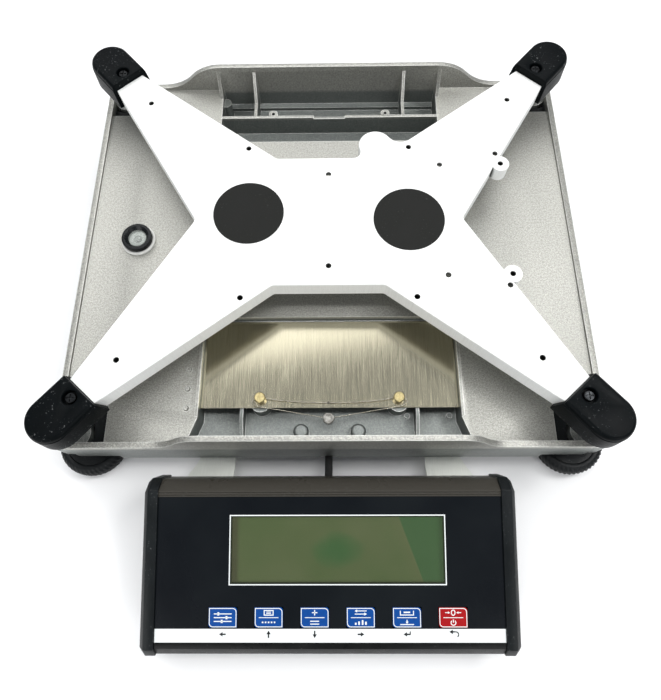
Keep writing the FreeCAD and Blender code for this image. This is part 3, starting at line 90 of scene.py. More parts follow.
PRESS = joint("key_1_press")["axis"]
FACE = Matrix.Rotation(math.atan2(-PRESS[1], PRESS[2]), 4, "X")
UNLEAN = FACE.inverted()
CORNERS = ("rear_right", "rear_left", "front_left", "front_right")
KEYS = ["key_%d" % place for place in range(1, 7)]


# ---------------------------------------------------------------------------------------------------
# Materials
# ---------------------------------------------------------------------------------------------------

class Look:
    """A material, with short ways to add the nodes that this script uses."""

    def __init__(self, name, sockets):
        self.material = bpy.data.materials.new(name)
        self.material.use_nodes = True
        self.tree = self.material.node_tree
        self.shader = self.tree.nodes["Principled BSDF"]
        self.place = self.add("TexCoord", {}).outputs["Object"]
        for socket, value in sockets.items():
            self.shader.inputs[socket].default_value = value

    def add(self, kind, inputs, **settings):
        node = self.tree.nodes.new("ShaderNode" + kind)
        for name, value in settings.items():
            setattr(node, name, value)
        for name, value in inputs.items():
            self.feed(node.inputs[name], value)
        return node

    def feed(self, socket, value):
        if isinstance(value, bpy.types.NodeSocket):
            self.tree.links.new(value, socket)
        else:
            socket.default_value = value

    def put(self, socket, value):
        """Feed one of the shader's own sockets."""
        self.feed(self.shader.inputs[socket], value)

    def grain(self, scale, detail=2.0, stretch=(1, 1, 1), roughness=0.5):
        """Noise from 0 to 1, with its scale in cycles a metre."""
        placed = self.add("Mapping", {"Vector": self.place, "Scale": stretch}).outputs["Vector"]
        sockets = {"Vector": placed, "Scale": scale, "Detail": detail, "Roughness": roughness}
        return self.add("TexNoise", sockets).outputs["Fac"]

    def spread(self, value, low, high, start=0.0, end=1.0):
        """The value taken from low..high to start..end and held there."""
        sockets = {"Value": value, "From Min": low, "From Max": high, "To Min": start, "To Max": end}
        return self.add("MapRange", sockets, clamp=True).outputs["Result"]

    def maths(self, operation, first, second=0.0):
        node = self.add("Math", {}, operation=operation)
        self.feed(node.inputs[0], first)
        self.feed(node.inputs[1], second)
        return node.outputs[0]

    def mix(self, share, first, second):
        """A colour part way from the first to the second."""
        node = self.add("Mix", {}, data_type="RGBA")
        self.feed(node.inputs["Factor"], share)
        self.feed(node.inputs[6], first)
        self.feed(node.inputs[7], second)
        return node.outputs[2]

    def bump(self, height, depth, below=None):
        """A bump whose height runs over depth metres, on top of another."""
        sockets = {"Height": height, "Distance": depth, "Strength": 1.0}
        if below is not None:
            sockets["Normal"] = below
        return self.add("Bump", sockets).outputs["Normal"]

    def axis(self, letter):
        """One coordinate of the point, in metres."""
        return self.add("SeparateXYZ", {"Vector": self.place}).outputs[letter.upper()]

    def edges(self, radius):
        """1 at sharp edges and 0 on flat faces."""
        soft = self.add("Bevel", {"Radius": radius}, samples=4).outputs["Normal"]
        true = self.add("NewGeometry", {}).outputs["Normal"]
        both = self.add("VectorMath", {}, operation="DOT_PRODUCT")
        self.feed(both.inputs[0], soft)
        self.feed(both.inputs[1], true)
        return self.spread(both.outputs["Value"], 0.99, 0.88)


def rgb(red, green, blue):
    return (red, green, blue, 1.0)


def shaded(tint, share):
    """A tint with each of its parts scaled."""
    return rgb(*(part * share for part in tint))


# Painted shade: below the deck the base's paint turns cooler and darker, fading in over a few millimetres.
TROUGH_SHADE_DEPTH = (0.0492, 0.0455)
# A painted sheen lightens the case towards its back edge and thins out over its face, from front to back.
SHEEN_RUN = (-0.215, -0.165)


def cast_paint():
    """Silver sand-textured paint on the cast base, with painted shade below its deck and a painted highlight
    along its sharp edges.
    """
    look = Look("base_paint", {"Metallic": 0.8, "Roughness": 0.42})
    sand = look.grain(1500, 3)
    blotch = look.grain(18, 3)
    pale = look.mix(blotch, rgb(0.49, 0.485, 0.44), rgb(0.57, 0.565, 0.51))
    coarse = look.grain(640, 3, roughness=0.75)
    sanded = look.mix(look.spread(coarse, 0.38, 0.54, 0.75, 0.0), pale, rgb(0.25, 0.245, 0.22))
    speckled = look.mix(look.spread(sand, 0.38, 0.62), rgb(0.27, 0.27, 0.255), sanded)
    # Painted shade: below the deck the paint is mixed towards a darker, cooler colour.
    deep = look.spread(look.axis("z"), *TROUGH_SHADE_DEPTH)
    trough_shaded = look.mix(look.maths("MULTIPLY", deep, 0.6), speckled, rgb(0.088, 0.112, 0.116))
    # Painted highlight: the sharp edges are mixed towards a pale colour.
    edge_highlighted = look.mix(look.edges(0.0009), trough_shaded, rgb(0.82, 0.82, 0.79))
    look.put("Base Color", edge_highlighted)
    look.put("Roughness", look.spread(sand, 0.3, 0.7, 0.34, 0.52))
    look.put("Normal", look.bump(sand, 0.00022, look.bump(coarse, 0.00016)))
    return look.material


def frame_paint():
    """Pale silver paint on the X-shaped frame, with painted shade down its holes."""
    look = Look("frame_paint", {"Metallic": 0.1, "Roughness": 0.5})
    fine = look.grain(1900, 3)
    upright = look.grain(900, 2, (1, 1, 0.04))
    pale = look.mix(look.spread(fine, 0.35, 0.65), rgb(0.80, 0.81, 0.79), rgb(0.88, 0.885, 0.87))
    streaked = look.mix(look.spread(upright, 0.42, 0.66, 0.0, 0.12), pale, rgb(0.55, 0.55, 0.52))
    # Painted shade: the colour goes near-black where ambient occlusion is strong, down the holes and in tight
    # creases.
    air = look.add("AmbientOcclusion", {"Distance": 0.007}, samples=12, only_local=True).outputs["AO"]
    look.put("Base Color", look.mix(look.spread(air, 0.32, 0.72), rgb(0.012, 0.012, 0.011), streaked))
    look.put("Roughness", look.spread(fine, 0.3, 0.7, 0.44, 0.58))
    look.put("Normal", look.bump(fine, 0.00004, look.bump(upright, 0.00003)))
    return look.material


def moulded_black(name, roughness=0.42, grain=2600, specks=0.5, tint=(0.003, 0.004, 0.0045), shine=0.2,
                  back_sheen=None):
    """Moulded black plastic: fine grain, light specks and rubs, and perhaps a painted sheen, lighter towards
    its back.
    """
    look = Look(name, {"Roughness": roughness, "IOR": 1.5, "Specular IOR Level": shine})
    fine = look.grain(grain, 2)
    dust = look.grain(620, 4, roughness=0.7)
    rub = look.grain(55, 5, roughness=0.65)
    rubbed = look.spread(rub, 0.46, 0.62, 0.0, specks)
    marks = look.maths("MULTIPLY", look.spread(dust, 0.62, 0.70), rubbed)
    dark = look.mix(look.spread(rub, 0.3, 0.75), rgb(*tint), shaded(tint, 1.7))
    # Painted sheen: the colour turns lighter and warmer towards the back of the part.
    if back_sheen:
        dark = look.mix(look.spread(look.axis("y"), *SHEEN_RUN), dark, rgb(*back_sheen))
    look.put("Base Color", look.mix(marks, dark, rgb(0.30, 0.31, 0.31)))
    look.put("Roughness", look.spread(rub, 0.3, 0.7, roughness - 0.06, roughness + 0.1))
    look.put("Normal", look.bump(fine, 0.00007, look.bump(look.grain(300, 2), 0.00003)))
    return look.material


def rubber(name):
    """Dull black rubber, a little dusty."""
    look = Look(name, {"Roughness": 0.7, "IOR": 1.5})
    dust = look.grain(300, 4)
    look.put("Base Color", look.mix(dust, rgb(0.012, 0.012, 0.013), rgb(0.045, 0.045, 0.044)))
    look.put("Normal", look.bump(look.grain(1800, 3), 0.00008))
    return look.material


def brushed(name, tint, stretch, roughness=0.28, lines=2600, shade=0.35, metallic=1.0, blotch=0.35,
            depth=0.00005):
    """Brushed metal; the lines run along the axis that the stretch holds back."""
    look = Look(name, {"Metallic": metallic, "Roughness": roughness})
    hair = look.grain(lines, 4, stretch, 0.7)
    broad = look.grain(lines / 14, 3, stretch, 0.6)
    dark = shaded(tint, 1 - shade)
    lined = look.mix(look.spread(hair, 0.3, 0.7), dark, rgb(*tint))
    look.put("Base Color", look.mix(look.spread(broad, 0.35, 0.7, 0.0, blotch), lined, dark))
    look.put("Roughness", look.spread(hair, 0.25, 0.75, roughness - 0.07, roughness + 0.12))
    look.put("Normal", look.bump(hair, depth))
    return look.material


def metal(name, tint, roughness=0.3, wear=0.3):
    """Turned or plated metal with a little tarnish."""
    look = Look(name, {"Metallic": 1.0, "Roughness": roughness})
    stain = look.grain(240, 5, roughness=0.65)
    dark = shaded(tint, 1 - wear)
    look.put("Base Color", look.mix(look.spread(stain, 0.35, 0.65), dark, rgb(*tint)))
    look.put("Roughness", look.spread(stain, 0.3, 0.7, roughness + 0.12, roughness - 0.05))
    look.put("Normal", look.bump(look.grain(2200, 2), 0.00003))
    return look.material


def dull_lead():
    """The stained lead of the seal."""
    look = Look("seal_lead", {"Metallic": 0.7, "Roughness": 0.55})
    stain = look.spread(look.grain(500, 5, roughness=0.7), 0.35, 0.65)
    look.put("Base Color", look.mix(stain, rgb(0.20, 0.19, 0.17), rgb(0.46, 0.45, 0.42)))
    look.put("Normal", look.bump(look.grain(900, 4), 0.00025))
    return look.material


def printed_sheet():
    """The near-black printed sheet of the indicator."""
    look = Look("panel_print", {"Roughness": 0.3, "IOR": 1.5, "Specular IOR Level": 0.14})
    cloud = look.grain(14, 3)
    fine = look.grain(3200, 2)
    clouded = look.spread(cloud, 0.3, 0.7)
    look.put("Base Color", look.mix(clouded, rgb(0.0015, 0.0026, 0.0045), rgb(0.0040, 0.0060, 0.0078)))
    look.put("Roughness", look.spread(cloud, 0.3, 0.7, 0.24, 0.36))
    look.put("Normal", look.bump(fine, 0.00002))
    return look.material


def ink(name, tint, roughness=0.4, mottled=0.14):
    """Printed or moulded colour with a slight mottle."""
    look = Look(name, {"Roughness": roughness, "IOR": 1.48, "Specular IOR Level": 0.2})
    mottle = look.grain(380, 4)
    dark = shaded(tint, 1 - mottled)
    look.put("Base Color", look.mix(look.spread(mottle, 0.3, 0.7), dark, rgb(*tint)))
    look.put("Normal", look.bump(look.grain(2600, 2), 0.00002))
    return look.material


def crystal_screen():
    """The olive-green liquid-crystal screen: a greener patch, a greener right end and brownish edges."""
    look = Look("screen_green", {"Roughness": 0.35, "IOR": 1.5, "Specular IOR Level": 0.15})
    low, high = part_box("screen_window")
    across = look.spread(look.axis("x"), low.x, high.x)
    along = look.spread(look.axis("y"), low.y, high.y)
    cloud = look.grain(22, 3)
    rows = look.grain(2400, 1, (1, 0.2, 1))
    clouded = look.spread(cloud, 0.35, 0.7)
    olive = look.mix(clouded, rgb(0.052, 0.0726, 0.0252), rgb(0.0686, 0.0816, 0.0353))
    side = look.maths("POWER", look.maths("MULTIPLY", look.maths("SUBTRACT", across, 0.51), 8.0), 2.0)
    rise = look.maths("POWER", look.maths("MULTIPLY", look.maths("SUBTRACT", along, 0.52), 3.6), 2.0)
    blot = look.maths("ADD", look.maths("ADD", side, rise), look.spread(cloud, 0.3, 0.7, -0.5, 0.5))
    patched = look.mix(look.spread(blot, 1.1, 0.2, 0.0, 0.9), olive, rgb(0.0216, 0.0704, 0.0202))
    slant = look.maths("ADD", across, look.maths("MULTIPLY", along, 0.115))
    halo = look.mix(look.spread(slant, 0.84, 0.9, 0.0, 0.35), patched, rgb(0.0872, 0.088, 0.042))
    ended = look.mix(look.spread(slant, 0.9, 0.906), halo, rgb(0.0283, 0.0682, 0.0242))
    brown = look.mix(look.spread(across, 0.045, 0.025, 0.0, 0.85), ended, rgb(0.0354, 0.0295, 0.0158))
    lower = look.mix(look.spread(along, 0.06, 0.02, 0.0, 0.6), brown, rgb(0.0208, 0.0176, 0.00742))
    right = look.mix(look.spread(across, 0.965, 0.985, 0.0, 0.6), lower, rgb(0.0125, 0.0273, 0.00938))
    lined = look.mix(look.spread(rows, 0.3, 0.8, 0.0, 0.08), right, rgb(0.0125, 0.022, 0.00672))
    look.put("Base Color", lined)
    look.put("Normal", look.bump(cloud, 0.00002))
    return look.material


def clear(name, tint, alpha, roughness=0.06):
    """Clear glass or plastic."""
    look = Look(name, {"Roughness": roughness, "IOR": 1.5, "Alpha": alpha})
    smear = look.grain(60, 4)
    look.put("Base Color", look.mix(look.spread(smear, 0.4, 0.7), rgb(*tint), shaded(tint, 0.9)))
    look.put("Roughness", look.spread(smear, 0.4, 0.8, roughness, roughness + 0.06))
    look.material.blend_method = "BLEND"
    return look.material


def circuit():
    """The green board with its tracks."""
    look = Look("board_green", {"Roughness": 0.4})
    cells = look.add("TexVoronoi", {"Vector": look.place, "Scale": 260.0}, distance="MANHATTAN")
    tracks = look.spread(cells.outputs["Distance"], 0.3, 0.36)
    look.put("Base Color", look.mix(tracks, rgb(0.02, 0.12, 0.05), rgb(0.05, 0.22, 0.09)))
    return look.material


PALE_STEEL = (0.62, 0.61, 0.58)
LOOKS = {
    "base_paint": cast_paint(),
    "frame_paint": frame_paint(),
    "black_moulding": moulded_black("black_moulding", 0.5),
    "cap_black": moulded_black("cap_black", 0.36, 2200, 0.9, (0.0014, 0.0022, 0.0026), 0.05),
    # The last colour of the case is its painted sheen, lighter towards the back.
    "case_black": moulded_black("case_black", 0.30, 3000, 0.25, (0.004, 0.0044, 0.0044), 0.12,
                                (0.044, 0.0405, 0.034)),
    "end_cap_black": moulded_black("end_cap_black", 0.35, 2600, 0.5, (0.0035, 0.0048, 0.0054), 0.17),
    "disc_black": moulded_black("disc_black", 0.66, 2400, 0.2, (0.006, 0.0063, 0.0055), 0.2),
    "knob_black": moulded_black("knob_black", 0.42, 2200, 0.4, (0.0025, 0.0033, 0.0038), 0.2),
    "level_black": moulded_black("level_black", 0.25, 2600, 0.2),
    "foot_rubber": rubber("foot_rubber"),
    "lead_jacket": rubber("lead_jacket"),
    "cell_aluminium": brushed("cell_aluminium", (0.72, 0.73, 0.74), (0.05, 1, 1), 0.3, 1800),
    "arm_steel": brushed("arm_steel", (0.93, 0.95, 0.88), (1, 0.03, 0.03), 0.40, 2000, 0.12, 0.1),
    "brushed_plate": brushed("brushed_plate", (0.58, 0.54, 0.40), (1, 0.006, 1), 0.14, 5200, 0.40, 1.0,
                             0.035, 0.000008),
    "screw_steel": metal("screw_steel", PALE_STEEL, 0.28),
    "stud_steel": metal("stud_steel", PALE_STEEL, 0.3),
    "wire_steel": metal("wire_steel", (0.66, 0.62, 0.52), 0.25),
    "black_screw": metal("black_screw", (0.016, 0.017, 0.018), 0.24),
    "seal_brass": metal("seal_brass", (0.56, 0.47, 0.24), 0.30, 0.45),
    "seal_lead": dull_lead(),
    "level_white": ink("level_white", (0.72, 0.72, 0.69), 0.35),
    "level_glass": clear("level_glass", (0.80, 0.86, 0.80), 0.16),
    "bubble": clear("bubble", (0.30, 0.32, 0.30), 0.5),
    "panel_print": printed_sheet(),
    "screen_glass": clear("screen_glass", (0.20, 0.26, 0.15), 0.05),
    "screen_green": crystal_screen(),
    "board_green": circuit(),
    "battery_wrap": ink("battery_wrap", (0.06, 0.14, 0.36)),
    "key_blue": ink("key_blue", (0.0003, 0.055, 0.26), 0.4),
    "key_red": ink("key_red", (0.33, 0.002, 0.004), 0.4),
}
WHITE_INK = ink("white_ink", (0.74, 0.77, 0.765), 0.4, 0.04)
DIAL_INK = ink("dial_ink", (0.30, 0.32, 0.30), 0.4)
BLACK_INK = ink("black_ink", (0.012, 0.012, 0.014), 0.4)


def dress_nodes():
    """Give each CAD node the look of its own material slot."""
    for part in frame["record"]["subparts"]:
        mesh = NODES[part["node"]].data
        mesh.materials.clear()
        mesh.materials.append(LOOKS[part["material_slot"]])


dress_nodes()
SLOT_OF = {part["node"]: part["material_slot"] for part in frame["record"]["subparts"]}
BODY_OF = {node: NODES[node]["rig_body"] for node in NODES}


# ---------------------------------------------------------------------------------------------------
# Meshes
# ---------------------------------------------------------------------------------------------------

def add_piece(name, mesh, body, slot, look=None, stands_for=()):
    """Put a mesh in the scene as a piece that rides on a body."""
    piece = bpy.data.objects.new(name, mesh)
    bpy.context.scene.collection.objects.link(piece)
    mesh.materials.clear()
    mesh.materials.append(look or LOOKS[slot])
    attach(piece, body)
    if stands_for:
        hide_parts(*stands_for)
    return piece


def stand_in(node, name, mesh):
    """Put a mesh in the place of a CAD node, on the same body and with the same look."""
    return add_piece(name, mesh, BODY_OF[node], SLOT_OF[node], stands_for=[node])


def finished(name, work, smooth_below=35):
    """A mesh from a bmesh, smooth wherever its faces turn by less than an angle."""
    bmesh.ops.recalc_face_normals(work, faces=work.faces)
    limit = math.radians(smooth_below)
    for face in work.faces:
        face.smooth = True
    for edge in work.edges:
        edge.smooth = len(edge.link_faces) == 2 and edge.calc_face_angle(0) < limit
    mesh = bpy.data.meshes.new(name)
    work.to_mesh(mesh)
    work.free()
    return mesh


SAME_POINT = 0.002 * MM
NEARLY_FLAT = math.radians(0.6)
SHARP = math.radians(40)


def soften(node, width, least):
    """Stand in for a node with its own shape, with its sharp edges rounded where they are long enough."""
    work = bmesh.new()
    work.from_mesh(NODES[node].data)
    bmesh.ops.remove_doubles(work, verts=work.verts, dist=SAME_POINT)
    bmesh.ops.dissolve_limit(work, angle_limit=NEARLY_FLAT, verts=work.verts, edges=work.edges,
                             use_dissolve_boundaries=False)
    sharp = [edge for edge in work.edges
             if len(edge.link_faces) == 2 and edge.calc_face_angle(0) > SHARP and edge.calc_length() > least]
    bmesh.ops.bevel(work, geom=sharp, offset=width, segments=2, profile=0.5, affect="EDGES",
                    clamp_overlap=True)
    stand_in(node, node + "_finish", finished(node + "_soft", work))


# ---------------------------------------------------------------------------------------------------
# Camera, light and floor
# ---------------------------------------------------------------------------------------------------

def camera():
    """A short lens high over the front of the base, turned a little back towards the deck."""
    lens = bpy.data.cameras.new("camera")
    lens.lens = 28.49
    lens.sensor_width = 36
    lens.clip_start = 0.01
    viewer = bpy.data.objects.new("camera", lens)
    viewer.location = (0.0058, -0.1799, 0.4563)
    viewer.rotation_euler = [math.radians(angle) for angle in (19.87, 0.71, -0.07)]
    bpy.context.scene.collection.objects.link(viewer)
    bpy.context.scene.camera = viewer


def area_light(name, where, aim, size, power):
    """A soft panel of light, aimed at a point."""
    lamp = bpy.data.lights.new(name, "AREA")
    lamp.shape = "RECTANGLE"
    lamp.size, lamp.size_y = size
    lamp.energy = power
    light = bpy.data.objects.new(name, lamp)
    light.location = where
    light.rotation_euler = (Vector(aim) - Vector(where)).to_track_quat("-Z", "Y").to_euler()
    bpy.context.scene.collection.objects.link(light)


def studio():
    """Soft light all round, with panels behind, above and in front."""
    world = bpy.data.worlds.new("studio")
    world.use_nodes = True
    sky = world.node_tree.nodes["Background"]
    sky.inputs["Color"].default_value = rgb(0.93, 0.96, 1.0)
    sky.inputs["Strength"].default_value = 0.42
    scene = bpy.context.scene
    scene.world = world
    scene.view_settings.view_transform = "Standard"
    area_light("overhead", (-0.15, 0.97, 1.25), (0, 0.1, 0), (1.8, 1.1), 15)
    area_light("above_gap", (0.05, -0.01, 1.30), (0.05, -0.13, 0), (1.1, 0.16), 4.0)
    area_light("side_left", (-0.76, 0.12, 1.25), (-0.1, -0.05, 0), (0.4, 0.3), 0.8)
    area_light("side_right", (0.76, 0.12, 1.25), (0.1, -0.05, 0), (0.4, 0.3), 6.6)
    area_light("front_left", (-0.95, -1.25, 0.95), (0, -0.05, 0.03), (0.9, 0.9), 10)
    area_light("front_right", (0.95, -1.25, 0.95), (0, -0.05, 0.03), (0.9, 0.9), 8.5)


FLOOR_REACH = 6.0
FLOOR_DROP = 0.2 * MM


def floor():
    """A plain pale floor just under the feet."""
    look = Look("floor", {"Roughness": 0.9})
    soft = look.grain(3, 2)
    look.put("Base Color", look.mix(soft, rgb(0.90, 0.90, 0.90), rgb(0.93, 0.93, 0.93)))
    mesh = bpy.data.meshes.new("floor")
    corners = [(x * FLOOR_REACH, y * FLOOR_REACH, 0) for x, y in ((-1, -1), (1, -1), (1, 1), (-1, 1))]
    mesh.from_pydata(corners, [], [(0, 1, 2, 3)])
    mesh.materials.append(look.material)
    ground = bpy.data.objects.new("floor", mesh)
    ground.location.z = -FLOOR_DROP
    bpy.context.scene.collection.objects.link(ground)


# ---------------------------------------------------------------------------------------------------
# Lofts, turned pieces and cuts
# ---------------------------------------------------------------------------------------------------

TINY = 0.001


def loft(rings, joined=False, first=False, last=False):
    """A skin over closed rings of points; the last ring may join the first, or either end be filled."""
    work = bmesh.new()
    rows = [[work.verts.new(point) for point in ring] for ring in rings]
    pairs = list(zip(rows, rows[1:])) + ([(rows[-1], rows[0])] if joined else [])
    for lower, upper in pairs:
        for place in range(len(lower)):
            after = (place + 1) % len(lower)
            work.faces.new((lower[place], lower[after], upper[after], upper[place]))
    if first:
        work.faces.new(rows[0][::-1])
    if last:
        work.faces.new(rows[-1])
    return work


def circle(middle, radius, height, steps):
    """A level ring of points round a middle."""
    turns = [math.tau * step / steps for step in range(steps)]
    return [Vector((middle.x + radius * math.cos(turn), middle.y + radius * math.sin(turn), height))
            for turn in turns]


def turned(middle, profile, steps=64):
    """A solid of revolution; its profile, in millimetres, is a closed loop or starts and ends at the axis."""
    rings = [circle(middle, max(radius, TINY) * MM, middle.z + height * MM, steps)
             for radius, height in profile]
    solid_ends = profile[0][0] == 0 and profile[-1][0] == 0
    return loft(rings, joined=not solid_ends, first=solid_ends, last=solid_ends)


def cut_away(stock, *tools):
    """Cut closed bmeshes out of another and return the bmesh that is left."""
    def as_object(name, work):
        bmesh.ops.recalc_face_normals(work, faces=work.faces)
        mesh = bpy.data.meshes.new(name)
        work.to_mesh(mesh)
        work.free()
        item = bpy.data.objects.new(name, mesh)
        bpy.context.scene.collection.objects.link(item)
        return item

    block = as_object("stock", stock)
    cutters = [as_object("cutter", tool) for tool in tools]
    for cutter in cutters:
        step = block.modifiers.new("cut", "BOOLEAN")
        step.operation = "DIFFERENCE"
        step.solver = "EXACT"
        step.object = cutter
    bpy.context.view_layer.update()
    result = bpy.data.meshes.new_from_object(block.evaluated_get(bpy.context.evaluated_depsgraph_get()))
    for item in [block] + cutters:
        bpy.data.objects.remove(item)
    work = bmesh.new()
    work.from_mesh(result)
    return work


# ---------------------------------------------------------------------------------------------------
# Corner caps and feet
# ---------------------------------------------------------------------------------------------------

CAP_ANGLE = math.radians(48.5)
CAP_FOOT_RADIUS = 17.68
CAP_RINGS = (
    # height under the cap's top, radius of the nose, length of the straight sides, corner at their ends
    (-21.0, 17.2, 29.9, 0.8), (-20.5, 17.66, 30.4, 0.8), (-19.6, CAP_FOOT_RADIUS, 30.3, 0.8),
    (-12.0, 17.25, 28.9, 0.8), (-5.2, 16.85, 27.4, 0.8), (-4.6, 16.8, 27.1, 0.8), (-4.2, 16.35, 27.0, 0.7),
    (-3.6, 16.3, 27.0, 0.7), (-2.4, 16.2, 27.0, 0.6), (-1.3, 15.7, 27.0, 0.5), (-0.5, 14.9, 27.0, 0.5),
    (-0.1, 14.2, 26.9, 0.5), (0.0, 13.6, 26.7, 0.5),
)
CAP_HOLLOW = ((-24, 13.6, 38, 1), (-5.9, 13.6, 38, 1))
CAP_HOLE = -19.4
CAP_WELL = ((5.3, -4.0), (5.3, -0.7), (5.6, -0.25), (6.3, 0.05), (6.3, 1))
CAP_BORE = ((2.3, -8), (2.3, -3))


def nose_loft(rings):
    """A solid from D-shaped rings in millimetres: straight at the back, round at the front."""
    skin = []
    for height, radius, back, corner in rings:
        side = radius - corner
        end = corner - back
        arcs = (
            (end, -side, corner, 180, 90, 5),
            (0, 0, radius, 270, 180, 36),
            (end, side, corner, 90, 90, 5),
        )
        ring = []
        for x, y, size, start, sweep, count in arcs:
            for step in range(count + 1):
                turn = math.radians(start + sweep * step / count)
                ring.append(Vector((x + size * math.cos(turn), y + size * math.sin(turn), height)) * MM)
        skin.append(ring)
    return loft(skin, first=True, last=True)


def drill(across, rings):
    """A round cutter in millimetres, from its radii and heights."""
    middle = Vector((across * MM, 0, 0))
    skin = [circle(middle, radius * MM, height * MM, 40) for radius, height in rings]
    return loft(skin, first=True, last=True)


def cap(corner):
    """A moulded cap: stepped skirt, bevelled border, hollow underneath and a deep well for its screw."""
    node = "corner_cap_" + corner
    low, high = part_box(node)
    side_x = 1 if (low.x + high.x) > 0 else -1
    side_y = 1 if corner.startswith("rear") else -1
    outer = Vector((high.x if side_x > 0 else low.x, high.y if side_y > 0 else low.y, 0))
    nose = outer - Vector((side_x, side_y, 0)) * CAP_FOOT_RADIUS * MM
    cutters = (nose_loft(CAP_HOLLOW), drill(CAP_HOLE, CAP_WELL), drill(CAP_HOLE, CAP_BORE))
    work = cut_away(nose_loft(CAP_RINGS), *cutters)
    turn = math.atan2(side_y * math.sin(CAP_ANGLE), side_x * math.cos(CAP_ANGLE))
    work.transform(Matrix.Translation((nose.x, nose.y, high.z)) @ Matrix.Rotation(turn, 4, "Z"))
    stand_in(node, node + "_moulding", finished(node, work, 28))


WHEEL_PROFILE = (
    # radius and height in millimetres, and how deep the teeth are there
    (5.0, 0.0, 0), (20.5, 0.0, 0), (23.0, 0.2, 0.2), (24.8, 1.2, 0.7), (26.2, 2.6, 1.2), (26.9, 4.4, 1.6),
    (27.0, 6.2, 1.7), (27.0, 8.0, 1.7), (26.9, 9.8, 1.6), (26.4, 11.4, 1.5), (25.4, 12.8, 1.3),
    (24.2, 13.6, 1.0), (22.9, 13.95, 0.5), (22.0, 14.0, 0), (20.4, 14.0, 0), (19.9, 13.7, 0), (19.5, 13.2, 0),
    (9.8, 13.2, 0), (9.3, 13.5, 0), (8.9, 14.0, 0), (5.0, 14.0, 0),
)
TEETH = 44
STEPS_PER_TOOTH = 10
TOOTH_SLANT = 0.16
TOOTH_ROUNDNESS = 0.6


def wheel(corner):
    """A foot's wheel with slanted rounded teeth over its rim."""
    node = "foot_wheel_" + corner
    low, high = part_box(node)
    middle = Vector(((low.x + high.x) / 2, (low.y + high.y) / 2, low.z))
    rings = []
    steps = TEETH * STEPS_PER_TOOTH
    for radius, height, depth in WHEEL_PROFILE:
        ring = []
        for step in range(steps):
            turn = math.tau * step / steps
            phase = math.pi * (step / STEPS_PER_TOOTH + TOOTH_SLANT * height)
            reach = (radius - depth * (1 - abs(math.sin(phase)) ** TOOTH_ROUNDNESS)) * MM
            ring.append(middle + Vector((reach * math.cos(turn), reach * math.sin(turn), height * MM)))
        rings.append(ring)
    stand_in(node, node + "_knurled", finished(node, loft(rings, joined=True), 50))


# ---------------------------------------------------------------------------------------------------
# Prints on the indicator
# ---------------------------------------------------------------------------------------------------

INK = 0.03
LINE_WIDTH = 0.62


def ribbon(points, width, closed=False):
    """Left and right rails of a line of some width, as pairs of points."""
    count = len(points)
    pairs = []
    for place, point in enumerate(points):
        ways = []
        if place > 0 or closed:
            before = points[place - 1]
            ways.append(Vector((point[0] - before[0], point[1] - before[1])).normalized())
        if place < count - 1 or closed:
            after = points[(place + 1) % count]
            ways.append(Vector((after[0] - point[0], after[1] - point[1])).normalized())
        along = sum(ways, Vector((0, 0))).normalized()
        side = Vector((-along.y, along.x)) * width / 2
        stretch = 1 / max(0.5, along.dot(ways[0]))
        spot = Vector(point)
        pairs.append((spot + side * stretch, spot - side * stretch))
    return pairs


def inked(work, place, low, height, rails, closed):
    """Raise a ribbon by the thickness of ink, in millimetres on the face about a place."""
    rows = []
    for left, right in rails:
        rows.append([work.verts.new(Vector((place.x + spot.x * MM, place.y + spot.y * MM, low + up * MM)))
                     for spot, up in ((left, 0), (left, height), (right, height), (right, 0))])
    pairs = list(zip(rows, rows[1:])) + ([(rows[-1], rows[0])] if closed else [])
    for one, two in pairs:
        for corner in range(4):
            after = (corner + 1) % 4
            work.faces.new((one[corner], two[corner], two[after], one[after]))
    if not closed:
        work.faces.new(rows[0])
        work.faces.new(rows[-1][::-1])


def arc(radius, start=0, end=360, steps=20, middle=(0, 0)):
    """Points along an arc; those of a whole turn don't come back to the first."""
    count = steps + 1 if end - start < 360 else steps
    turns = [math.radians(start + (end - start) * step / steps) for step in range(count)]
    return [(middle[0] + radius * math.cos(turn), middle[1] + radius * math.sin(turn)) for turn in turns]


def arrow(tail, tip, width=0.95, head=2.3):
    """A shaft and a head, each as a line with its widths at both ends."""
    start, end = Vector(tail), Vector(tip)
    along = (end - start).normalized()
    side = Vector((-along.y, along.x))
    neck = end - along * head
    half = width / 2
    return [
        (start + side * half, start - side * half),
        (neck + along * 0.01 + side * half, neck + along * 0.01 - side * half),
        (neck + along * 0.02 + side * head * 0.62, neck + along * 0.02 - side * head * 0.62),
        (end + side * 0.06, end - side * 0.06),
    ]


def print_piece(name, node, look, place, low, shapes):
    """One print on a node of the indicator; each of its shapes is a ribbon and whether it is closed."""
    work = bmesh.new()
    for rails, closed in shapes:
        inked(work, place, low, INK, rails, closed)
    work.transform(FACE)
    add_piece(name, finished(name, work, 20), BODY_OF[node], SLOT_OF[node], look)


def line(*points, width=LINE_WIDTH):
    """A shape: a line through some points."""
    return ribbon(points, width), False


def loop(points, width=LINE_WIDTH):
    """A shape: a closed line through some points."""
    return ribbon(points, width, True), True


def pointer(tail, tip, *sizes):
    """A shape: an arrow."""
    return arrow(tail, tip, *sizes), False


def key_border(half_x, half_y, bend):
    """The outline of a key, square at top left and bottom right and round at the other two corners."""
    top_right = arc(bend, 0, 90, 6, (half_x - bend, half_y - bend))
    low_left = arc(bend, 180, 270, 6, (-half_x + bend, -half_y + bend))
    return [(half_x, -half_y)] + top_right + [(-half_x, half_y)] + low_left


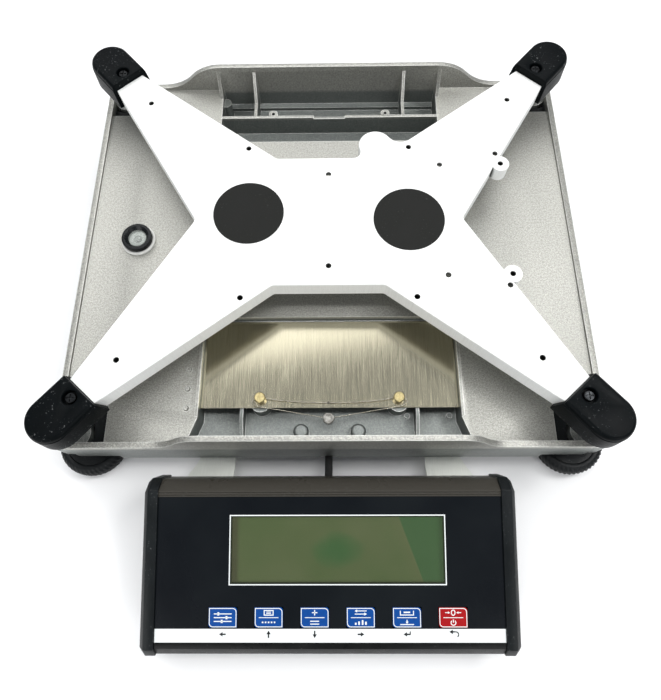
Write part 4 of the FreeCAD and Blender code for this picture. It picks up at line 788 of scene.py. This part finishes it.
BARS = ((-3.4, 1.4), (-1.2, 2.2), (1.2, 3.0), (3.4, 2.0))
SIGNS = {
    # generic signs in the upper and lower halves of a key, in millimetres about its middle
    "key_1": [
        line((-6, 2.4), (6, 2.4)),
        line((-6, 0), (6, 0)),
        line((-6, -2.4), (6, -2.4)),
        line((-3, 3.4), (-3, 1.4), width=1.3),
        line((2.6, 1), (2.6, -1), width=1.3),
        line((-0.6, -1.4), (-0.6, -3.4), width=1.3),
    ],
    "key_2": [
        loop([(-3, 1.6), (3, 1.6), (3, 4.6), (-3, 4.6)]),
        line((-1.6, 3.6), (1.6, 3.6), width=0.5),
        line((-1.6, 2.6), (1.6, 2.6), width=0.5),
        *(line((x - 0.5, -3), (x + 0.5, -3), width=1.0) for x in (-4, -2, 0, 2, 4)),
    ],
    "key_3": [
        line((-1.8, 3.2), (1.8, 3.2)),
        line((0, 5), (0, 1.4)),
        line((-3, -2.3), (3, -2.3)),
        line((-3, -4.1), (3, -4.1)),
    ],
    "key_4": [
        pointer((-4, 2.3), (4, 2.3), 0.55, 1.6),
        pointer((4, 4.3), (-4, 4.3), 0.55, 1.6),
        *(line((x, -4.6), (x, -4.6 + rise), width=1.1) for x, rise in BARS),
    ],
    "key_5": [
        line((-4.4, 4.4), (-4.4, 1.7), (4.4, 1.7), (4.4, 4.4)),
        line((-2.2, 3.4), (2.2, 3.4), width=0.9),
        line((-4.6, -4.4), (4.6, -4.4)),
        pointer((0, -1.4), (0, -4.0), 0.6, 1.5),
    ],
    "key_6": [
        loop([(x * 0.72, y) for x, y in arc(1.7, middle=(0, 3.2))], 0.6),
        pointer((-5.4, 3.2), (-2.2, 3.2), 0.5, 1.3),
        pointer((5.4, 3.2), (2.2, 3.2), 0.5, 1.3),
        line(*arc(1.6, 130, 410, 20, (0, -3.2)), width=0.6),
        line((0, -1.2), (0, -3.2), width=0.6),
    ],
}
STRIP_SIGNS = [
    [pointer((2.2, 0), (-2.2, 0))],
    [pointer((0, -2.3), (0, 2.3))],
    [pointer((0, 2.3), (0, -2.3))],
    [pointer((-2.2, 0), (2.2, 0))],
    [pointer((1.9, 0), (-2.4, 0)), line((2.0, -0.35), (2.0, 1.9), width=0.7)],
    [pointer((0.6, 1.6), (-2.8, 1.6)),
     line((0.5, 1.6), (1.4, 1.6), *arc(1.7, 90, -60, 8, (1.6, -0.1)), width=0.7)],
]
BORDER_INSET = 0.55
STRIP_GAP = 0.7
STRIP_INSET = 0.1
ARROW_RISE = 0.9
SCREEN_MARGIN = 0.5


def key_print(key):
    """The border and the signs of a key, with a line across its middle on all but the first."""
    low, high = box_on_face(key)
    half_x, half_y = [(high[axis] - low[axis]) / 2 / MM - BORDER_INSET for axis in (0, 1)]
    shapes = [loop(key_border(half_x, half_y, 2.4), 0.5)] + SIGNS[key]
    if key != KEYS[0]:
        shapes.append(line((-6.6, 0), (6.6, 0), width=0.45))
    print_piece(key + "_print", key, WHITE_INK, (low + high) / 2, high.z, shapes)


def prints():
    """The prints of the keys, the white strip under them with its arrows, and the screen's line."""
    low, high = box_on_face("front_panel")
    for key in KEYS:
        key_print(key)
    strip_top = box_on_face(KEYS[-1])[0].y - STRIP_GAP * MM
    strip_middle = (low.y + strip_top) / 2
    half = (strip_top - low.y) / 2 / MM - STRIP_INSET
    reach = (high.x - low.x) / 2 / MM - STRIP_INSET
    print_piece("panel_strip", "front_panel", WHITE_INK, Vector((0, strip_middle, 0)), high.z,
                [line((-reach, 0), (reach, 0), width=2 * half)])
    for place, key in enumerate(KEYS):
        key_low, key_high = box_on_face(key)
        spot = Vector(((key_low.x + key_high.x) / 2, strip_middle + ARROW_RISE * MM, 0))
        print_piece("panel_arrow_%d" % (place + 1), "front_panel", BLACK_INK, spot, high.z + INK * MM,
                    STRIP_SIGNS[place])
    window_low, window_high = box_on_face("screen_window")
    x, y = [(window_high[axis] - window_low[axis]) / 2 / MM + SCREEN_MARGIN for axis in (0, 1)]
    print_piece("screen_line", "front_panel", WHITE_INK, (window_low + window_high) / 2, high.z,
                [loop([(-x, -y), (x, -y), (x, y), (-x, y)], 0.75)])


# ---------------------------------------------------------------------------------------------------
# Seal and level
# ---------------------------------------------------------------------------------------------------

def along_curve(points):
    """Points of a smooth curve whose control points are given in metres."""
    data = bpy.data.curves.new("path", "CURVE")
    data.dimensions = "3D"
    data.resolution_u = 24
    spline = data.splines.new("NURBS")
    spline.points.add(len(points) - 1)
    for spot, point in zip(spline.points, points):
        spot.co = (*point, 1)
    spline.order_u = 3
    spline.use_endpoint_u = True
    item = bpy.data.objects.new("path", data)
    bpy.context.scene.collection.objects.link(item)
    bpy.context.view_layer.update()
    mesh = bpy.data.meshes.new_from_object(item.evaluated_get(bpy.context.evaluated_depsgraph_get()))
    found = [corner.co.copy() for corner in mesh.vertices]
    bpy.data.objects.remove(item)
    return found


def finer(path, step):
    """The same line with a point at least every step metres."""
    out = [path[0]]
    for start, end in zip(path, path[1:]):
        parts = max(1, math.ceil((end - start).length / step))
        out += [start.lerp(end, part / parts) for part in range(1, parts + 1)]
    return out


STRAND_RADIUS = 0.17 * MM
STRAND_SIDES = 8
TWIST_PITCH = 1.9 * MM
TWIST_STEP = 0.25 * MM


def twisted(work, route):
    """Two thin strands twisted round each other along a smooth line past some points."""
    path = finer(along_curve(route), TWIST_STEP)
    up = Vector((0, 0, 1))
    corners = [math.tau * step / STRAND_SIDES for step in range(STRAND_SIDES)]
    for strand in (0, 1):
        rings = []
        run = 0.0
        for place, point in enumerate(path):
            ahead = path[min(place + 1, len(path) - 1)] - path[max(place - 1, 0)]
            ahead.normalize()
            side = ahead.cross(up).normalized()
            over = side.cross(ahead)
            if place:
                run += (point - path[place - 1]).length
            turn = math.pi * strand + math.tau * run / TWIST_PITCH
            middle = point + (side * math.cos(turn) + over * math.sin(turn)) * STRAND_RADIUS
            spots = [middle + (side * math.cos(corner) + over * math.sin(corner)) * STRAND_RADIUS
                     for corner in corners]
            rings.append([work.verts.new(spot) for spot in spots])
        for lower, upper in zip(rings, rings[1:]):
            for place in range(STRAND_SIDES):
                after = (place + 1) % STRAND_SIDES
                work.faces.new((lower[place], lower[after], upper[after], upper[place]))
        work.faces.new(rings[0][::-1])
        work.faces.new(rings[-1])


WIRE_ACROSS = (
    # how far each point lies from the left (-1), the middle (0) or the right (1), then its y and height
    (-1, 4.4, 0, 2.6), (-1, 12, -1.4, 1.3), (0, -20, -3.2, 0.9), (0, 4, -3.6, 0.8), (0, 26, -3.1, 1.2),
    (1, -12, -1.5, 1.5), (1, -4.4, 0, 2.6),
)
WIRE_TO_SCREW = (
    # out from the screw, y, and height over its eye
    (4.3, 0, 0), (6.2, -1.4, 0.2), (5.0, -5.6, 0), (-4, -7.6, -0.5), (-18, -9.6, -0.9),
)
WIRE_TO_LEAD = (
    # out from the lead, y, and height over the screws' eyes
    (4.5, -14.6, -2.2), (3.2, -15.0, -2.6),
)
SCREW_INSET = 4.2
SCREW_EYE = 2.6


def seal_wire(lead_x):
    """The twisted wire between the brass screws, looped round each and drawn down to the lead."""
    low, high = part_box("seal_screws")
    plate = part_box("recess_plate")[1].z
    screw_y = (low.y + high.y) / 2
    side = (high.x - low.x) / 2 - SCREW_INSET * MM
    eye = plate + SCREW_EYE * MM
    work = bmesh.new()

    def spot(x, y, z):
        return Vector((x, screw_y + y * MM, z))

    twisted(work, [spot(hand * side + x * MM, y, plate + z * MM) for hand, x, y, z in WIRE_ACROSS])
    for hand in (-1, 1):
        route = [spot(hand * (side + x * MM), y, eye + z * MM) for x, y, z in WIRE_TO_SCREW]
        route.append(spot(hand * 20 * MM, -12.2, eye - 1.5 * MM))
        route += [spot(lead_x + hand * x * MM, y, eye + z * MM) for x, y, z in WIRE_TO_LEAD]
        twisted(work, route)
    stand_in("seal_wire", "seal_wire_twisted", finished("seal_wire", work, 60))


# each wave round the lead's edge: its depth as a share of the radius, how many, and where it starts
LEAD_DENTS = ((0.035, 3, 0.6), (0.02, 7, 0), (0.012, 13, 1))
LEAD_FIT = 0.97


def pressed_lead(low, high):
    """The lead disc, dented round its edge by the pliers."""
    spot = Vector(((low.x + high.x) / 2, (low.y + high.y) / 2, low.z))
    radius = (high.x - low.x) / 2 / MM
    thick = (high.z - low.z) / MM
    profile = [
        (0, 0.25), (2.2, 0.1), (3.2, 0.1), (4.0, 0.3), (radius - 0.15, 1.0), (radius, 1.7),
        (radius - 0.1, 2.6), (4.1, 3.3), (3.5, thick), (3.0, thick - 0.1), (2.7, thick - 0.45),
        (1.6, thick - 0.5), (0, thick - 0.42),
    ]
    work = turned(spot, profile, 48)
    for corner in work.verts:
        away = corner.co - spot
        turn = math.atan2(away.y, away.x)
        dents = sum(depth * math.sin(waves * turn + shift) for depth, waves, shift in LEAD_DENTS)
        corner.co.x = spot.x + away.x * (1 + dents) * LEAD_FIT
        corner.co.y = spot.y + away.y * (1 + dents) * LEAD_FIT
    stand_in("lead_seal", "lead_seal_pressed", finished("lead_seal", work, 60))


def seal():
    """The seal: its wire and its lead."""
    low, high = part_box("lead_seal")
    seal_wire((low.x + high.x) / 2)
    pressed_lead(low, high)


def level():
    """The bubble level: white seat, dished black bezel, domed vial with a ring mark and a bubble."""
    low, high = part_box("level_bezel")
    x, y = (low.x + high.x) / 2, (low.y + high.y) / 2
    radius = (high.x - low.x) / 2 / MM
    tall = (high.z - low.z) / MM
    bezel = [
        (7.5, 1.1), (7.5, 4.3), (7.9, 4.7), (9.6, tall - 0.35), (10.1, tall), (radius - 0.9, tall),
        (radius - 0.2, tall - 0.3), (radius, tall - 0.9), (radius - 0.1, 2.6), (radius - 1.2, 2.1),
        (radius - 1.2, 0.0), (7.5, 0.0),
    ]
    mesh = finished("level_bezel", turned(Vector((x, y, low.z)), bezel, 96), 30)
    stand_in("level_bezel", "level_bezel_dished", mesh)
    low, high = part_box("level_seat")
    rim = (high.x - low.x) / 2 / MM
    seat = [
        (11.6, 0.0), (rim - 0.3, 0.0), (rim, 0.3), (rim, 1.3), (rim - 0.25, 1.75), (rim - 0.8, 2.0),
        (12.9, 2.0), (12.6, 1.8), (11.6, 1.8),
    ]
    mesh = finished("level_seat", turned(Vector((x, y, low.z)), seat, 96), 30)
    stand_in("level_seat", "level_seat_ring", mesh)
    low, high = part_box("level_vial")
    foot = Vector((x, y, low.z))
    height = (high.z - low.z) / MM
    dial = turned(foot, [(0, 0.0), (7.3, 0.0), (7.3, 1.2), (0, 1.2)], 48)
    add_piece("level_dial", finished("level_dial", dial, 30), "base", "level_white", DIAL_INK)
    mark = turned(foot, [(2.9, 1.15), (3.35, 1.15), (3.35, 1.3), (2.9, 1.3)], 48)
    add_piece("level_mark", finished("level_mark", mark, 30), "base", "level_white", BLACK_INK)
    air = [(0, 1.5), (1.5, 1.55), (2.1, 1.9), (2.2, 2.3), (2.0, 2.7), (1.3, 2.95), (0, 3.0)]
    bubble = turned(foot + Vector((0.5, -0.4, 0)) * MM, air, 40)
    add_piece("level_bubble", finished("level_bubble", bubble, 60), "base", "level_glass", LOOKS["bubble"])
    dome = [
        (0, 1.3), (7.35, 1.3), (7.4, 1.6), (7.4, height - 1.4), (7.1, height - 0.9), (6.0, height - 0.5),
        (4.4, height - 0.2), (2.4, height - 0.05), (0, height),
    ]
    stand_in("level_vial", "level_vial_domed", finished("level_vial", turned(foot, dome, 64), 50))


camera()
studio()
floor()
soften("base_casting", 0.5 * MM, 1.5 * MM)
for side in ("left", "right"):
    soften("end_cap_" + side, 0.35 * MM, 1.2 * MM)
    soften("bracket_arm_" + side, 0.3 * MM, 1.2 * MM)
soften("indicator_housing", 0.25 * MM, 1.2 * MM)
for corner in CORNERS:
    cap(corner)
    wheel(corner)
prints()
seal()
level()
